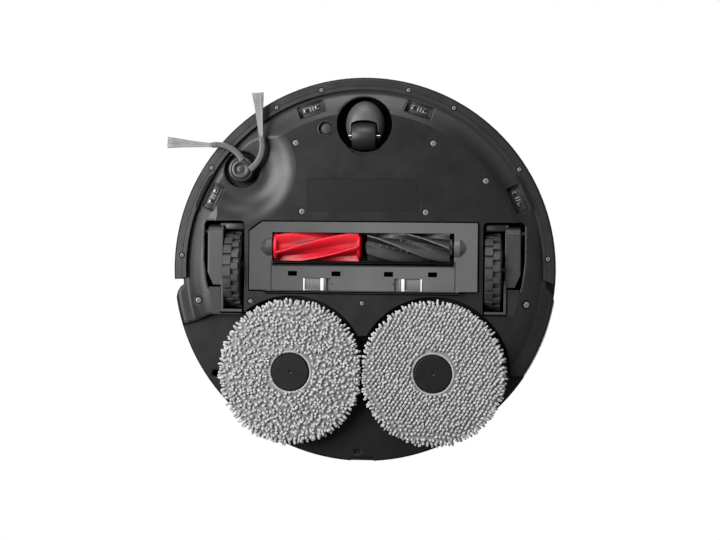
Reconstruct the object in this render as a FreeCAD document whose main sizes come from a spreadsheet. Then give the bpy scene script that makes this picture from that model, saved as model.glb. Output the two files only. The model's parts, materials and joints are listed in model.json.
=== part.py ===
"""Robot vacuum with twin spinning mops, a split main brush and a corner brush.

Row frame, millimetres: +Z up, the floor at z = 0, the robot's front towards -Y and its right side
towards -X. The origin is on the floor, midway between the drive wheels.
"""

import FreeCAD, Part
import math
import os
import re
from types import SimpleNamespace

import Sketcher
from FreeCAD import Placement, Rotation, Vector

# ---------------------------------------------------------------- driving dimensions

DRIVING = {
    # body
    "body_radius": 173.8, "front_radius": 164.8, "wall": 2.4, "deck_z": 11, "ring_z": 19,
    "ring_start": 141, "ring_end": 161, "notch_y": 14,
    "split_z": 45, "rim_under_z": 66.8, "top_z": 82, "deck_top_z": 78.6, "deck_under_z": 76.3,
    "seam": 0.3, "edge_round": 5,
    # bumper
    "bumper_radius": 172.3, "bumper_wall": 3, "bumper_low_z": 14.3, "bumper_top_z": 65.8,
    "skirt_in": 161.4, "skirt_out": 164.9, "skirt_top_z": 16.8, "lip_thick": 1.1,
    "band_low_z": 34, "band_top_z": 48, "band_depth": 0.9, "bumper_screw_circle": 165.6,
    # top lid and turret
    "lid_radius": 150, "lid_low_z": 79, "turret_y": 50, "turret_hole": 41.5, "turret_base": 40,
    "turret_cap": 37, "turret_top_z": 100, "turret_cap_z": 95, "turret_posts": 33.5,
    "button_x": 13, "button_y": -158, "button_long": 16, "button_wide": 8,
    # mop bay and mops
    "bay_z": 23, "bay_radius": 68.5, "mop_x": 64, "mop_y": 93,
    "bay_back_y": 95, "tab_y": 60, "mop_plate": 60, "mop_pad": 62.6, "mop_cap": 16.8,
    "pad_low_z": 0.6, "pad_top_z": 9, "plate_top_z": 12, "mop_shaft": 5,
    # drive wheels and their swing arms
    "well_in": 107.5, "well_mid": 129.7, "well_out": 144.6, "well_front": -42.5,
    "well_step": 19.7, "well_back": 41, "well_top_z": 73.2, "wheel_radius": 36,
    "wheel_x": 117.5, "wheel_y": 1, "wheel_width": 16, "tyre_thick": 6, "tread_depth": 1.6, "tread_blocks": 18,
    "axle_radius": 4, "pivot_y": -32, "pivot_z": 20, "pivot_radius": 3,
    # caster
    "caster_y": -130.1, "caster_well": 25, "caster_well_z": 33, "caster_trail": 10.8,
    "caster_wheel": 12.5, "caster_width": 20, "caster_dome": 22,
    # corner brush
    "hub_x": -111.1, "hub_y": -88.8, "hub_well": 16.5, "hub_well_z": 24, "hub_radius": 12,
    "scoop_floor": 22, "scoop_radius": 50, "scoop_z": 16, "arm_bend": 26, "arm_turn": 72,
    "arm_apart": 83, "bristle_reach": 69,
    # main brush and its cover
    "cover_x": 102.6, "cover_mid_x": 86.4, "cover_front": -41.8, "cover_side_y": 19.6,
    "cover_back": 21.9, "cover_z": 8.5, "cover_thick": 3, "cover_gap": 1.2, "cover_corner": 11.5,
    "window_x": 81.8, "window_front": -32.3, "window_back": -6.9, "panel_front": -2.3,
    "latch_x": 43, "latch_y": 14.2, "latch_long": 21, "latch_wide": 11,
    "roller_y": -19.6, "roller_z": 15.5, "roller_radius": 14, "roller_end": 81,
    "roller_gap": 2.4, "chamber_x": 92, "chamber_z": 42, "chamber_radius": 18,
    # dust bin
    "bin_x": 73.5, "bin_front": -64.5, "bin_back": 4.5, "bin_floor_z": 46, "bin_top_z": 75,
    # sensors
    "cliff_circle": 151.8, "cliff_long": 23.5, "cliff_wide": 11, "carpet_x": -35, "carpet_y": -125.8,
    "carpet_radius": 7.2, "deck_screw": 2.6, "rim_screw": 1.9,
}
CLIFF_ANGLES = (-65, -18.7, 18.7, 65)
DECK_SCREWS = ((-62, -113), (62, -113), (-55.8, -51.2), (55.8, -51.2), (109.2, -79.6))
SIDE_SCREWS = ((-150, 29.8), (146.3, 30.4))
SMALL_SCREWS = ((-101.6, 30.2), (-0.6, 30.9))
BUMPER_SCREW_ANGLES = (-86.2, -57, -28.9, -13.8, 13.7, 28.9, 57, 86.4)
RING_STEPS = ((0, 0), (6.5, 2.1), (13.5, 5), (20, 8))  # out from ring_start, up from deck_z

doc = FreeCAD.newDocument("RobotVacuum")
sheet = doc.addObject("Spreadsheet::Sheet", "Dims")
for row, (alias, value) in enumerate(DRIVING.items(), 1):
    sheet.set(f"A{row}", alias)
    sheet.set(f"B{row}", str(value))
    sheet.setAlias(f"B{row}", alias)
doc.recompute()
d = SimpleNamespace(**{alias: float(sheet.get(alias)) for alias in DRIVING})
nodes = []

# ---------------------------------------------------------------- helpers


def cell(text):
    """An expression in which each driving dimension's name reads its cell."""
    return re.sub(r"[a-z]\w*", lambda m: "Dims." + m[0] if m[0] in DRIVING else m[0], str(text))


def bind(item, **expressions):
    """Binds properties to cells; base_x, base_y and base_z are the placement's."""
    for name, text in expressions.items():
        path = name.replace("base_", "Placement.Base.")
        item.setExpression(path, cell(text))
    return item


def node(item, label):
    """Marks an object as one sub-part, which is written to parts/label.step."""
    item.Label = label
    nodes.append(item)
    return item


def box(name, x, y, z):
    """A block between pairs of expressions on each axis."""
    item = doc.addObject("Part::Box", name)
    bind(item, Length=f"({x[1]}) - ({x[0]})", Width=f"({y[1]}) - ({y[0]})", Height=f"({z[1]}) - ({z[0]})")
    return bind(item, base_x=x[0], base_y=y[0], base_z=z[0])


def rod(name, radius, z, x="0", y="0"):
    """An upright cylinder from z[0] to z[1]."""
    item = doc.addObject("Part::Cylinder", name)
    return bind(item, Radius=radius, Height=f"({z[1]}) - ({z[0]})", base_x=x, base_y=y, base_z=z[0])


def cross_rod(name, radius, x, y, z):
    """A cylinder along X from x[0] to x[1]."""
    item = doc.addObject("Part::Cylinder", name)
    item.Placement = Placement(Vector(), Rotation(Vector(0, 1, 0), 90))
    return bind(item, Radius=radius, Height=f"({x[1]}) - ({x[0]})", base_x=x[0], base_y=y, base_z=z)


def turned_box(name, radius, angle, size, z):
    """A block of size (along the rim, across it) centred on the polar place; angle 0 is the front."""
    item = doc.addObject("Part::Box", name)
    bind(item, Length=size[0], Width=size[1], Height=f"({z[1]}) - ({z[0]})")
    item.Placement = Placement(Vector(), Rotation(Vector(0, 0, 1), angle))
    along, across = f"(({size[0]}) / 2)", f"(({radius}) + ({size[1]}) / 2)"
    sine, cosine = math.sin(math.radians(angle)), math.cos(math.radians(angle))
    bind(item, base_x=f"{across} * {sine} - {along} * {cosine}")
    bind(item, base_y=f"-{across} * {cosine} - {along} * {sine}", base_z=z[0])
    return item


def fuse(name, *parts):
    item = doc.addObject("Part::MultiFuse", name)
    item.Shapes = list(parts)
    item.Refine = True
    return item


def cut(name, base, *tools):
    item = doc.addObject("Part::Cut", name)
    item.Base = base
    item.Tool = tools[0] if len(tools) == 1 else fuse(name + "_tool", *tools)
    item.Refine = True
    return item


def common(name, *parts):
    item = doc.addObject("Part::MultiCommon", name)
    item.Shapes = list(parts)
    return item


def group(name, *parts):
    item = doc.addObject("Part::Compound", name)
    item.Links = list(parts)
    return item


def mirrored(name, source):
    """The same piece on the other side of the robot."""
    item = doc.addObject("Part::Mirroring", name)
    item.Source = source
    item.Normal = Vector(1, 0, 0)
    return item


def feature(name, shape):
    item = doc.addObject("Part::Feature", name)
    item.Shape = shape
    return item


def outline(sketch, loops):
    """Draws closed loops: a list of (x, y) corners, or ("circle", x, y, radius), all expressions."""
    for loop in loops:
        first = sketch.GeometryCount
        if loop[0] == "circle":
            sketch.addGeometry(Part.Circle(Vector(1, 1, 0), Vector(0, 0, 1), 5), False)
            wanted = [("DistanceX", 1, loop[1]), ("DistanceY", 1, loop[2])]
            radius = sketch.addConstraint(Sketcher.Constraint("Radius", first, 5))
            sketch.setExpression(f"Constraints[{radius}]", cell(loop[3]))
            for kind, value, text in wanted:
                made = sketch.addConstraint(Sketcher.Constraint(kind, -1, 1, first, 3, value))
                sketch.setExpression(f"Constraints[{made}]", cell(text))
            continue
        count = len(loop)
        turn = 2 * math.pi / count
        start = [Vector(10 * math.cos(turn * i), 10 * math.sin(turn * i), 0) for i in range(count)]
        for i in range(count):
            sketch.addGeometry(Part.LineSegment(start[i], start[(i + 1) % count]), False)
        for i in range(count):
            following = first + (i + 1) % count
            sketch.addConstraint(Sketcher.Constraint("Coincident", first + i, 2, following, 1))
        for i, corner in enumerate(loop):
            for kind, value, text in zip(("DistanceX", "DistanceY"), start[i], corner):
                made = sketch.addConstraint(Sketcher.Constraint(kind, -1, 1, first + i, 1, value))
                sketch.setExpression(f"Constraints[{made}]", cell(text))


def new_body(name):
    return doc.addObject("PartDesign::Body", name)


def sketch_on(body, role, loops, offset="0"):
    """A sketch on one of the body's own origin planes, lifted along its normal by offset."""
    sketch = body.newObject("Sketcher::SketchObject", body.Name + "_sketch")
    plane = next(f for f in body.Origin.OriginFeatures if f.Role == role)
    sketch.AttachmentSupport = (plane, [""])
    sketch.MapMode = "FlatFace"
    sketch.setExpression("AttachmentOffset.Base.z", cell(offset))
    outline(sketch, loops)
    return sketch


def lathe(name, corners, axis="V_Axis", **place):
    """A turned body. On V_Axis the corners are (radius, z); on H_Axis they are (x, radius)."""
    body = new_body(name)
    sketch = sketch_on(body, "XZ_Plane", [corners])
    turned = body.newObject("PartDesign::Revolution", name + "_turned")
    turned.Profile = sketch
    turned.ReferenceAxis = (sketch, [axis])
    turned.Angle = 360
    bind(body, **place)
    doc.recompute()
    return body


def slab(name, loops, z, role="XY_Plane"):
    """A padded body between two heights above its plane."""
    body = new_body(name)
    pad(body, loops, z, role)
    return body


def pad(body, loops, z, role="XY_Plane"):
    padding = body.newObject("PartDesign::Pad", body.Name + "_pad")
    padding.Profile = sketch_on(body, role, loops, z[0])
    bind(padding, Length=f"({z[1]}) - ({z[0]})")
    doc.recompute()
    return padding


def pocket(body, loops, z, role="XY_Plane"):
    """Cuts loops out of a body between two heights above the plane."""
    pocketing = body.newObject("PartDesign::Pocket", body.Name + "_pocket")
    pocketing.Profile = sketch_on(body, role, loops, z[1])
    before = body.Shape.Volume
    bind(pocketing, Length=f"({z[1]}) - ({z[0]})")
    doc.recompute()
    if not body.Shape.Volume < before - 1e-3:
        raise RuntimeError(f"{pocketing.Name} cuts nothing")
    return pocketing


def soften(body, radius, wanted, kind="Fillet"):
    """Rounds or bevels the edges of the body's tip for which wanted(edge's box) is true."""
    base = body.Tip
    picked = [f"Edge{i}" for i, edge in enumerate(base.Shape.Edges, 1) if wanted(edge.BoundBox)]
    if not picked:
        raise RuntimeError(f"{body.Name} has no edge to soften")
    eased = body.newObject("PartDesign::" + kind, f"{body.Name}_{kind.lower()}")
    eased.Base = (base, picked)
    bind(eased, **{"Radius" if kind == "Fillet" else "Size": radius})
    doc.recompute()
    return eased


def flat_at(z):
    """Edges that lie wholly at one height."""
    return lambda b: b.ZLength < 1e-4 and abs(b.ZMax - z) < 1e-3


def upright(b):
    return b.XLength < 1e-4 and b.YLength < 1e-4 and b.ZLength > 1e-3


def rectangle(x, y):
    return [(x[0], y[0]), (x[1], y[0]), (x[1], y[1]), (x[0], y[1])]


def screws(name, places, head, length, z):
    """A group of cross-head screws whose heads face down at height z."""
    made = []
    for x, y in places:
        top = Part.makeCylinder(head, 1.4, Vector(x, y, z))
        shank = Part.makeCylinder(head * 0.5, length, Vector(x, y, z + 1.4))
        screw = top.makeChamfer(0.25, [top.Edges[2]]).fuse(shank)
        for turn in (0, 90):
            slot = Part.makeBox(head * 1.1, head * 0.28, 0.7, Vector(-head * 0.55, -head * 0.14, 0))
            slot.rotate(Vector(), Vector(0, 0, 1), turn + 20)
            slot.translate(Vector(x, y, z))
            screw = screw.cut(slot)
        made.append(screw)
    return feature(name, Part.makeCompound(made))


def polar(radius, angle):
    """The place at that radius and angle from the front, positive towards +X."""
    return radius * math.sin(math.radians(angle)), -radius * math.cos(math.radians(angle))


# ---------------------------------------------------------------- lower casing


def chassis_block(name, grow, low, floor_lift):
    """The lower casing's outside form when grow is 0, or its hollow when grow is the wall."""
    lift = f"({floor_lift})"
    dish = [("0", f"deck_z + {lift}")]
    dish += [(f"ring_start + {out}", f"deck_z + {up} + {lift}") for out, up in RING_STEPS[:-1]]
    dish.append(("ring_end", f"ring_z + {lift}"))
    front = lathe(name + "_front", dish + [
        (f"front_radius - {grow}", f"ring_z + {lift}"), (f"front_radius - {grow}", low), ("0", low)])
    rear = lathe(name + "_rear", dish + [
        (f"body_radius - {grow}", f"ring_z + {lift}"), (f"body_radius - {grow}", low), ("0", low)])
    reach = d.body_radius - (d.wall if grow == "wall" else 0)
    soften(rear, "edge_round", lambda b: flat_at(d.ring_z + (d.wall if grow == "wall" else 0))(b)
           and b.XMax > reach - 1)
    return fuse(name, front, common(name + "_back", rear, rear_block(name + "_half", grow)))


def rear_block(name, grow):
    """The rear part of the plan; its corners curve away from the gap behind the bumper."""
    side, front = f"body_radius + 5 - {grow}", f"notch_y + {grow}"
    block = slab(name, [rectangle((f"-({side})", side), (front, "body_radius + 10"))], ("0", "top_z + 5"))
    trims = []
    for sign in (-1, 1):
        edge = [(6, -1), (6, 20), (-1.2, 20), (-2.9, 12), (-4.3, 7.2), (-6.8, 3.6), (-11.3, 0), (-11.3, -1)]
        corners = [(f"{sign} * (body_radius - {grow} + {out})", f"{front} + {back}") for out, back in edge]
        trims.append(slab(name + "_trim", [corners], ("-1", "top_z + 6")))
    return cut(name + "_rounded", block, *trims)


def wells(name, grow, low="-5"):
    """Both L-shaped wheel wells, larger by grow on every side."""
    made = []
    for sign in (-1, 1):
        ins, mid, out = (f"{sign} * ({t})" for t in (
            f"well_in - {grow}", f"well_mid + {grow}", f"well_out + {grow}"))
        corners = [(ins, f"well_front - {grow}"), (out, f"well_front - {grow}"), (out, "-8"),
                   (f"{out} - {sign} * 2.4", "12"), (f"{out} - {sign} * 4.4", f"well_step + {grow}"),
                   (mid, f"well_step + {grow}"), (mid, f"well_back + {grow}"), (ins, f"well_back + {grow}")]
        made.append(slab(f"{name}_well", [corners], (low, f"well_top_z + {grow}")))
        soften(made[-1], "4", lambda b: upright(b) and b.YMax < d.well_front + 1)
    return made


def mop_bay(name, grow):
    """The raised bay over the mops: a round recess for each, and everything behind them."""
    z = ("-5", f"bay_z + {grow}")
    made = [rod(f"{name}_recess", f"bay_radius + {grow}", z, f"{sign} * mop_x", "mop_y")
            for sign in (-1, 1)]
    edge = [("-mop_x", 42.5), ("-138.4", 42), ("-150", 47.6), ("-161", 50.9), ("-185", 57)]
    plan = [(x, f"{y} - {grow}") for x, y in edge] + [("-185", "185"), ("-mop_x", "185")]
    made.append(slab(name + "_side", [plan], z))
    made.append(box(name + "_rear", ("-body_radius - 10", "body_radius + 10"),
                    (f"bay_back_y - {grow}", "body_radius + 10"), z))
    made.append(box(name + "_tab", (f"-12 - {grow}", f"12 + {grow}"),
                    (f"tab_y - {grow}", "bay_back_y + 1"), z))
    return made


def scoop(name, lift):
    """The dished hollow that gives the corner brush room: two tangent arcs turned about its hub."""
    run, drop = d.scoop_radius - d.scoop_floor, d.scoop_z - d.deck_z
    bend = (run ** 2 + drop ** 2) / (4 * drop)
    half = math.asin(run / 2 / bend)
    top, low = d.scoop_z + lift, d.deck_z + lift

    def on_arc(turn, upper):
        side, fall = bend * math.sin(turn), bend * (1 - math.cos(turn))
        if upper:
            return Vector(d.scoop_floor + side, 0, top - fall)
        return Vector(d.scoop_radius - side, 0, low + fall)

    edges = [
        Part.LineSegment(Vector(0, 0, -5), Vector(0, 0, top)),
        Part.LineSegment(Vector(0, 0, top), on_arc(0, True)),
        Part.Arc(on_arc(0, True), on_arc(half / 2, True), on_arc(half, True)),
        Part.Arc(on_arc(half, False), on_arc(half / 2, False), on_arc(0, False)),
        Part.LineSegment(on_arc(0, False), Vector(d.scoop_radius, 0, -5)),
        Part.LineSegment(Vector(d.scoop_radius, 0, -5), Vector(0, 0, -5)),
    ]
    face = Part.Face(Part.Wire([edge.toShape() for edge in edges]))
    dish = feature(name, face.revolve(Vector(), Vector(0, 0, 1), 360))
    return bind(dish, base_x="hub_x", base_y="hub_y")


def hollows(name, grow):
    """Everything pressed up into the underside; grow makes the walls around it."""
    lift = d.wall if grow == "wall" else 0.0
    return mop_bay(name + "_bay", grow) + wells(name, grow) + [
        scoop(name + "_scoop", lift),
        rod(name + "_hub_well", f"hub_well + {grow}", ("-5", f"hub_well_z + {grow}"), "hub_x", "hub_y"),
        rod(name + "_caster", f"caster_well + {grow}", ("-5", f"caster_well_z + {grow}"), y="caster_y"),
        slab(name + "_lobe", [[(f"{x} + {side} * {grow}", f"{y} + {grow}") for x, y, side in (
            (-15.8, -131, -1), (-15.8, -109.5, -1), (-10.5, -104.5, -1), (-4.5, -102, -1),
            (4.5, -102, 1), (10.5, -104.5, 1), (15.8, -109.5, 1), (15.8, -131, 1))]],
             ("-5", f"deck_z + 3 + {grow}")),
    ]


def cover_plan(grow):
    """The brush cover's outline; its front corner on the robot's right is cut off."""
    side, middle, corner = f"cover_x + {grow}", f"cover_mid_x + {grow}", "cover_corner"
    front, back, step = f"cover_front - {grow}", f"cover_back + {grow}", f"cover_side_y + {grow}"
    return [(f"-({side})", f"{front} + {corner} * 0.75"), (f"-({side}) + {corner}", front),
            (side, front), (side, step), (middle, step), (middle, back),
            (f"-({middle})", back), (f"-({middle})", step), (f"-({side})", step)]


def lower_casing():
    outside = chassis_block("casing_out", "0", "split_z", "0")
    inside = chassis_block("casing_in", "wall", "split_z + 1", "wall")
    towers = wells("tower", "wall", "split_z - 5")
    body = fuse("casing_solid", outside, *towers)
    room = cut("casing_room", inside, *hollows("wall_of", "wall"))
    holes = [slab("cover_opening", [cover_plan("cover_gap")], ("-5", "30"))]
    for angle in CLIFF_ANGLES:
        holes.append(turned_box("cliff_hole", "cliff_circle", angle,
                                ("cliff_long", "cliff_wide"), ("0", "30")))
    holes.append(rod("carpet_hole", "carpet_radius", ("0", "20"), "carpet_x", "carpet_y"))
    holes.append(rod("hub_hole", "4", ("0", "30"), "hub_x", "hub_y"))
    holes.append(rod("caster_hole", "4.05", ("0", "40"), y="caster_y"))
    for sign in (-1, 1):
        holes.append(rod("mop_hole", "9", ("0", "30"), f"{sign} * mop_x", "mop_y"))
        holes.append(cross_rod("pivot_hole", "pivot_radius",
                               (f"{sign} * 146.5 - 3", f"{sign} * 146.5 + 3"), "pivot_y", "pivot_z"))
    for x, y in DECK_SCREWS + SIDE_SCREWS + SMALL_SCREWS:
        head, depth = screw_head(x, y), underside_z(x, y)
        holes.append(rod("screw_seat", f"{head} + 0.8", ("0", f"{depth + 1.5}"), str(x), str(y)))
        holes.append(rod("screw_hole", f"{head} * 0.5", ("0", f"{depth + 8}"), str(x), str(y)))
    holes.append(box("label_seat", ("-50.7", "50.7"), ("-81", "-51.2"), ("0", "deck_z + 0.3")))
    holes.append(rod("bay_hole", "3", ("0", "40"), "-135", "96"))
    holes.append(box("eye_pocket", ("-7.5", "-2"), ("163.5", "167.2"), ("0", "bay_z + 1.2")))
    for angle in (167.5, -167.5):
        holes.append(turned_box("contact_seat", "body_radius + 0.6", angle, ("9", "2.4"), ("26", "41")))
    holes.append(box("dock_notch", ("-10.4", "10.4"), ("170.6", "180"), ("0", "34")))
    return node(cut("casing", body, *hollows("under", "0"), room, *holes), "bottom_chassis")


def screw_head(x, y):
    return "rim_screw" if (x, y) in SMALL_SCREWS else "deck_screw"


def underside_z(x, y):
    """Height of the underside, on the flat deck or on the sloping ring beyond it."""
    out = math.hypot(x, y) - d.ring_start
    for (near, low), (far, high) in zip(RING_STEPS, RING_STEPS[1:]):
        if near <= out < far:
            return d.deck_z + low + (high - low) * (out - near) / (far - near)
    return d.deck_z if out < 0 else d.ring_z


def upper_block(name, grow, low, ceiling):
    """The upper casing's outside form when grow is 0, or its hollow when grow is the wall."""
    rim = lathe(name + "_rim", [
        ("0", f"rim_under_z + {grow}"), (f"body_radius - {grow}", f"rim_under_z + {grow}"),
        (f"body_radius - {grow}", ceiling), ("0", ceiling)])
    if grow == "0":
        soften(rim, "4", flat_at(d.top_z))
    front = rod(name + "_front", f"front_radius - {grow}", (low, f"rim_under_z + 1 + {grow}"))
    rear = rod(name + "_rear", f"body_radius - {grow}", (low, f"rim_under_z + 1 + {grow}"))
    return fuse(name, rim, front, common(name + "_back", rear, rear_block(name + "_half", grow)))


def upper_casing():
    outside = upper_block("upper_out", "0", "split_z", "top_z")
    inside = upper_block("upper_in", "wall", "split_z - 1", "deck_under_z")
    well_wall = box("well_wall", ("-bin_x - 2", "bin_x + 2"), ("bin_front - 2", "bin_back + 2"),
                    ("bin_floor_z - 2", "deck_under_z + 1"))
    tools = [box("bin_well", ("-bin_x", "bin_x"), ("bin_front", "bin_back"), ("bin_floor_z", "top_z + 1")),
             box("duct_hole", ("-20", "20"), ("-32", "-12"), ("40", "bin_floor_z + 1")),
             rod("lid_recess", "lid_radius + 0.6", ("deck_top_z", "top_z + 1"))]
    for sign in (-1, 1):
        tools.append(box("button_hole", (f"{sign} * button_x - button_long / 2 - 0.3",
                                         f"{sign} * button_x + button_long / 2 + 0.3"),
                         ("button_y - button_wide / 2 - 0.3", "button_y + button_wide / 2 + 0.3"),
                         ("60", "top_z + 1")))
    shell = cut("upper_shell", outside, inside)
    return node(cut("upper", fuse("upper_solid", shell, well_wall), *tools), "upper_housing")


def top_pieces():
    lid = lathe("lid", [("0", "deck_top_z"), ("lid_radius", "deck_top_z"),
                        ("lid_radius", "top_z"), ("0", "top_z")])
    pocket(lid, [("circle", "0", "turret_y", "turret_hole")], ("deck_top_z - 1", "top_z + 1"))
    pocket(lid, [rectangle(("-19", "19"), ("-lid_radius - 2", "-lid_radius + 6"))],
           ("deck_top_z - 1", "top_z + 1"))
    soften(lid, "1", lambda b: flat_at(d.top_z)(b) and b.XLength > 40)
    node(lid, "top_lid")
    for sign, label in ((-1, "power_button"), (1, "dock_button")):
        x = (f"{sign} * button_x - button_long / 2", f"{sign} * button_x + button_long / 2")
        button = slab(label, [rectangle(x, ("button_y - button_wide / 2", "button_y + button_wide / 2"))],
                      ("top_z - 4.5", "top_z + 0.8"))
        soften(button, "2", upright)
        soften(button, "0.6", flat_at(d.top_z + 0.8))
        node(button, label)


def turret():
    spots = [polar(d.turret_posts, 45 + 90 * i) for i in range(4)]
    base = lathe("turret_foot", [
        ("0", "deck_top_z"), ("turret_base", "deck_top_z"), ("turret_base", "deck_top_z + 3.4"),
        ("turret_base - 2", "deck_top_z + 5.4"), ("5.05", "deck_top_z + 5.4"),
        ("5.05", "deck_top_z + 1.9"), ("0", "deck_top_z + 1.9")], base_y="turret_y")
    sockets = [rod("socket", "3.05", ("deck_top_z + 0.4", "deck_top_z + 7"),
                   f"{x}", f"turret_y + {y}") for x, y in spots]
    node(cut("turret_socketed", base, *sockets), "lidar_base")
    rotor = lathe("rotor", [
        ("0", "deck_top_z + 2.2"), ("5", "deck_top_z + 2.2"), ("5", "deck_top_z + 6"),
        ("29.5", "deck_top_z + 6"), ("29.5", "turret_cap_z - 3"), ("27.5", "turret_cap_z - 1.5"),
        ("0", "turret_cap_z - 1.5")], base_y="turret_y")
    eyes = box("rotor_eyes", ("-14", "14"), ("turret_y - 30", "turret_y - 24"), ("87", "91.5"))
    node(cut("rotor_windowed", rotor, eyes), "lidar_rotor")
    roof = lathe("turret_roof", [
        ("0", "turret_cap_z"), ("turret_cap", "turret_cap_z"), ("turret_cap", "turret_top_z - 2.5"),
        ("turret_cap - 2.5", "turret_top_z"), ("0", "turret_top_z")], base_y="turret_y")
    posts = [rod("post", "3", ("deck_top_z + 1.9", "turret_cap_z + 1"), f"{x}", f"turret_y + {y}")
             for x, y in spots]
    node(fuse("turret_cover", roof, *posts), "turret_cap")


# ---------------------------------------------------------------- bumper


def front_part(name, source):
    """What lies in front of the bumper's two slanting ends."""
    plan = [("-185", "-185"), ("185", "-185"), ("185", "18.9"), ("161", "7.6"), ("-161", "9.1"), ("-185", "13")]
    return common(name, source, slab(name + "_half", [plan], ("0", "top_z")))


def bumper():
    places = [polar(d.bumper_screw_circle, angle) for angle in BUMPER_SCREW_ANGLES]
    flange = "bumper_low_z + lip_thick"
    shell = lathe("bumper_turned", [
        ("skirt_out + 0.3", "bumper_low_z"), ("bumper_radius - 1.8", "bumper_low_z"),
        ("bumper_radius", "bumper_low_z + 1.8"), ("bumper_radius", "bumper_top_z - 1.6"),
        ("bumper_radius - 1.6", "bumper_top_z"), ("bumper_radius - bumper_wall", "bumper_top_z"),
        ("bumper_radius - bumper_wall", flange), ("skirt_out + 0.3", flange)])
    band = lathe("band_turned", [
        ("bumper_radius - band_depth", "band_low_z"), ("bumper_radius", "band_low_z"),
        ("bumper_radius", "band_top_z"), ("bumper_radius - band_depth", "band_top_z")])
    front = box("band_front", ("-bumper_radius", "bumper_radius"), ("-bumper_radius - 5", "-bumper_radius / 2"),
                ("0", "top_z"))
    window = common("band", band, front)
    pits = [rod("pit", "rim_screw + 0.7", ("0", flange), f"{x}", f"{y}") for x, y in places]
    node(cut("bumper_cut", front_part("bumper_half", shell), window, *pits), "bumper_shell")
    node(window, "bumper_window")
    skirt = lathe("skirt_turned", [
        ("skirt_in", "bumper_low_z"), ("skirt_out", "bumper_low_z"), ("skirt_out", flange),
        ("skirt_out + 4", flange), ("skirt_out + 4", "skirt_top_z"), ("skirt_in", "skirt_top_z")])
    shanks = [rod("shank_hole", "rim_screw * 0.5", (flange, "ring_z"), f"{x}", f"{y}") for x, y in places]
    node(cut("skirt_cut", front_part("skirt_half", skirt), *pits, *shanks), "bumper_skirt")
    low = d.bumper_low_z + d.lip_thick - 1.4
    node(screws("rim_screws", places, d.rim_screw, 1.1, low), "bumper_screws")


# ---------------------------------------------------------------- wheels, caster, corner brush


def tyre_shape():
    """A rubber ring with two staggered rows of rectangular blocks."""
    half = d.wheel_width / 2
    inner, low = d.wheel_radius - d.tyre_thick, d.wheel_radius - d.tread_depth
    ring = Part.makeCylinder(d.wheel_radius, 2 * half, Vector(-half, 0, 0), Vector(1, 0, 0))
    ring = ring.makeChamfer(0.8, [e for e in ring.Edges if e.BoundBox.XLength < 1e-4])
    ring = ring.cut(Part.makeCylinder(inner, 2 * half + 2, Vector(-half - 1, 0, 0), Vector(1, 0, 0)))
    groove = Part.makeCylinder(d.wheel_radius + 1, 0.9, Vector(-0.45, 0, 0), Vector(1, 0, 0))
    groove = groove.cut(Part.makeCylinder(low, 0.9, Vector(-0.45, 0, 0), Vector(1, 0, 0)))
    tools = [groove]
    pitch = 360 / d.tread_blocks
    for i in range(int(2 * d.tread_blocks)):
        side = i % 2
        slot = Part.makeBox(half + 0.5, 2.4, 4, Vector(-half - 0.5 if side else 0, -1.2, low))
        slot.rotate(Vector(), Vector(1, 0, 0), i * pitch / 2)
        tools.append(slot)
    return ring.cut(Part.makeCompound(tools))


def drive_wheels():
    tread = tyre_shape()
    arm = slab("arm_case", [[("-40", "30"), ("-38.5", "18"), ("-36.4", "13"), ("-33", "10.5"),
                             ("15.5", "10.5"), ("15.5", "40"), ("6", "50"), ("-20", "50"), ("-36", "38")]],
               ("wheel_x + 9.5", "141.3"), "YZ_Plane")
    soften(arm, "1.5", lambda b: b.XLength < 1e-3 and abs(b.XMin - 141.3) < 1e-3)
    bars = [
        box("side_bar", ("wheel_x + 8.6", "128.4"), ("10", "39.7"), ("9", "22")),
        box("rear_bar", ("109", "128.4"), ("37.3", "39.7"), ("9", "22")),
        box("front_bar", ("109", "130"), ("-40.5", "-38"), ("16", "26")),
        cross_rod("axle", "axle_radius", ("wheel_x - 6", "wheel_x + 10"), "wheel_y", "wheel_radius"),
    ]
    slant = slab("arm_slant", [[("135.5", "16"), ("141.6", "2.5"), ("145", "2.5"), ("145", "16")]], ("0", "60"))
    bore = cross_rod("pivot_bore", "pivot_radius + 0.05", ("120", "150"), "pivot_y", "pivot_z")
    right = cut("arm_right", fuse("arm_solid", arm, *bars), slant, bore)
    node(right, "left_wheel_arm")
    node(mirrored("arm_mirrored", right), "right_wheel_arm")
    pins = []
    for sign, side in ((1, "left"), (-1, "right")):
        middle = f"{sign} * wheel_x"
        hub = lathe(side + "_hub", [
            ("-7", "axle_radius + 0.05"), ("7", "axle_radius + 0.05"), ("7", "9"), ("4", "10"),
            ("4", "25"), ("7", "27"), ("7", "wheel_radius - tyre_thick"),
            ("-7", "wheel_radius - tyre_thick"), ("-7", "27"), ("-4", "25"), ("-4", "10"), ("-7", "9")],
            "H_Axis", base_x=middle, base_y="wheel_y", base_z="wheel_radius")
        node(hub, side + "_wheel_hub")
        tyre = bind(feature(side + "_tread", tread), base_x=middle, base_y="wheel_y", base_z="wheel_radius")
        node(tyre, side + "_tyre")
        pins.append(cross_rod(side + "_pin", "pivot_radius", (
            f"{sign} * 137.4 - 9.6", f"{sign} * 137.4 + 9.6"), "pivot_y", "pivot_z"))
    node(group("pins", *pins), "arm_pins")


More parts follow.
